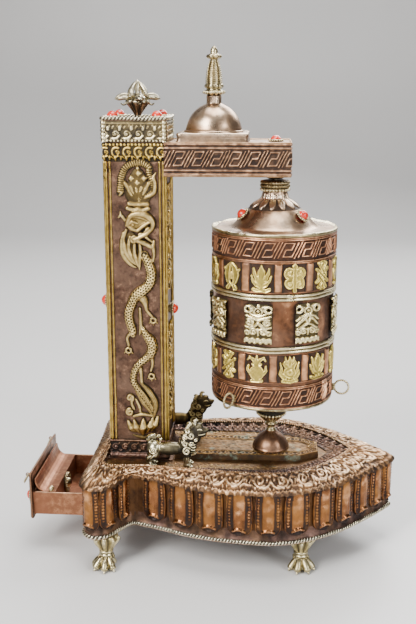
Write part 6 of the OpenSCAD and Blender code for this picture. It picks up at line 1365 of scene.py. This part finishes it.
cadmat("wall", "base_wall", "base_bottom_sheet")
cadmat("deck", "deck_plate", "drum_bottom_cover")
cadmat("sheet", "drawer_tray", "drawer_cove", "drawer_front", "drawer_runners", "arm_soffit")
cadmat("column", "column_shell", "column_plinth")
cadmat("darkcad", "spindle_top_boss", "foot_rivets", "drum_bushes")
cadmat("steel", "spindle_rod", "spindle_nuts")
cadmat("palecad", "thrust_bead", "prayer_roll")
cadmat("stupa", "arm_channel")
cadmat("column", "column_top_plate")


def plain_stuff(name, c0, c1, c2, rough, sc):
    m = bpy.data.materials.new(name); m.use_nodes = True; nt = m.node_tree; bs = nt.nodes["Principled BSDF"]
    tc = N(nt, "ShaderNodeTexCoord"); n = N(nt, "ShaderNodeTexNoise", i_Scale=sc, i_Detail=4.0); nt.links.new(tc.outputs["Object"], n.inputs["Vector"])
    r = ramp(nt, [(0.3, c4(c0)), (0.5, c4(c1)), (0.72, c4(c2))], n.outputs["Fac"]); nt.links.new(r.outputs["Color"], bs.inputs["Base Color"])
    bs.inputs["Roughness"].default_value = rough
    return m


M["shell"] = plain_stuff("shell_bead", (0.55, 0.50, 0.42), (0.74, 0.70, 0.62), (0.84, 0.81, 0.75), 0.35, 260.0)
M["paper"] = plain_stuff("rolled_paper", (0.42, 0.34, 0.22), (0.58, 0.49, 0.34), (0.66, 0.58, 0.43), 0.85, 120.0)
cadmat("shell", "thrust_bead")
cadmat("paper", "prayer_roll")

# ------------------------------------------------------------ stage
def simple(name, col, rough):
    m = bpy.data.materials.new(name); m.use_nodes = True; nt = m.node_tree; bs = nt.nodes["Principled BSDF"]
    tc = N(nt, "ShaderNodeTexCoord"); n = N(nt, "ShaderNodeTexNoise", i_Scale=3.0, i_Detail=2.0); nt.links.new(tc.outputs["Object"], n.inputs["Vector"])
    r = ramp(nt, [(0.3, c4([x * 0.97 for x in col])), (0.7, c4(col))], n.outputs["Fac"]); nt.links.new(r.outputs["Color"], bs.inputs["Base Color"])
    bs.inputs["Roughness"].default_value = rough
    return m


me = bpy.data.meshes.new("floor"); L = 1.6
prof = [(-1.2, 0.0), (1.3, 0.0)] + [(1.3 + 0.5 * math.sin(a), 0.5 - 0.5 * math.cos(a)) for a in np.linspace(0, pi / 2, 12)[1:]] + [(1.8, 2.2)]
vs = [(x, y, z) for y, z in prof for x in (-2.4, 2.4)]
me.from_pydata(vs, [], [(2 * i, 2 * i + 1, 2 * i + 3, 2 * i + 2) for i in range(len(prof) - 1)]); me.update()
floor = bpy.data.objects.new("floor", me); scene.collection.objects.link(floor)
me.materials.append(simple("pale_floor", (0.62, 0.61, 0.60), 0.42)); me.polygons.foreach_set("use_smooth", np.ones(len(me.polygons), bool))

w = bpy.data.worlds.new("studio"); scene.world = w; w.use_nodes = True; nt = w.node_tree; nt.nodes.clear()
wo = N(nt, "ShaderNodeOutputWorld"); bg = N(nt, "ShaderNodeBackground"); tc = N(nt, "ShaderNodeTexCoord"); sp = N(nt, "ShaderNodeSeparateXYZ")
nt.links.new(tc.outputs["Generated"], sp.inputs[0])
rp = ramp(nt, [(0.0, (0.04, 0.04, 0.04, 1)), (0.48, (0.07, 0.07, 0.072, 1)), (0.62, (0.14, 0.14, 0.142, 1)), (1.0, (0.30, 0.30, 0.305, 1))], math_(nt, "ADD", math_(nt, "MULTIPLY", sp.outputs["Z"], 0.5), 0.5))
nt.links.new(rp.outputs["Color"], bg.inputs["Color"]); bg.inputs["Strength"].default_value = 1.0; nt.links.new(bg.outputs[0], wo.inputs[0])


def area(name, loc, target, size, power, col=(1, 1, 1)):
    l = bpy.data.lights.new(name, "AREA"); l.shape = "RECTANGLE"; l.size, l.size_y = size; l.energy = power; l.color = col
    o = bpy.data.objects.new(name, l); scene.collection.objects.link(o); o.location = loc
    d = Vector(target) - Vector(loc); o.rotation_euler = d.to_track_quat("-Z", "Y").to_euler()
    return o


area("key", (-0.70, -0.95, 1.0), (0, 0, 0.17), (0.42, 0.80), 34, (1.0, 0.985, 0.96))
area("fill", (0.95, -0.80, 0.60), (0, 0, 0.16), (0.28, 0.90), 13, (0.97, 0.985, 1.0))
area("top", (0.05, 0.05, 1.35), (0, 0, 0.1), (0.7, 0.7), 20)
area("back", (0.35, 1.05, 0.9), (0, 0, 0.2), (1.0, 0.5), 20)
area("front_low", (0.0, -1.3, 0.30), (0, 0, 0.12), (0.9, 0.16), 4)

cam = bpy.data.cameras.new("camera"); cam.sensor_width = 36.0; cam.lens = 53.1; cam.clip_start = 0.01; cam.clip_end = 20
co = bpy.data.objects.new("camera", cam); scene.collection.objects.link(co)
co.location = ((-1.7 + SX) / 1000, -0.6183, 0.320); co.rotation_euler = (math.radians(76), 0, math.radians(4)); scene.camera = co

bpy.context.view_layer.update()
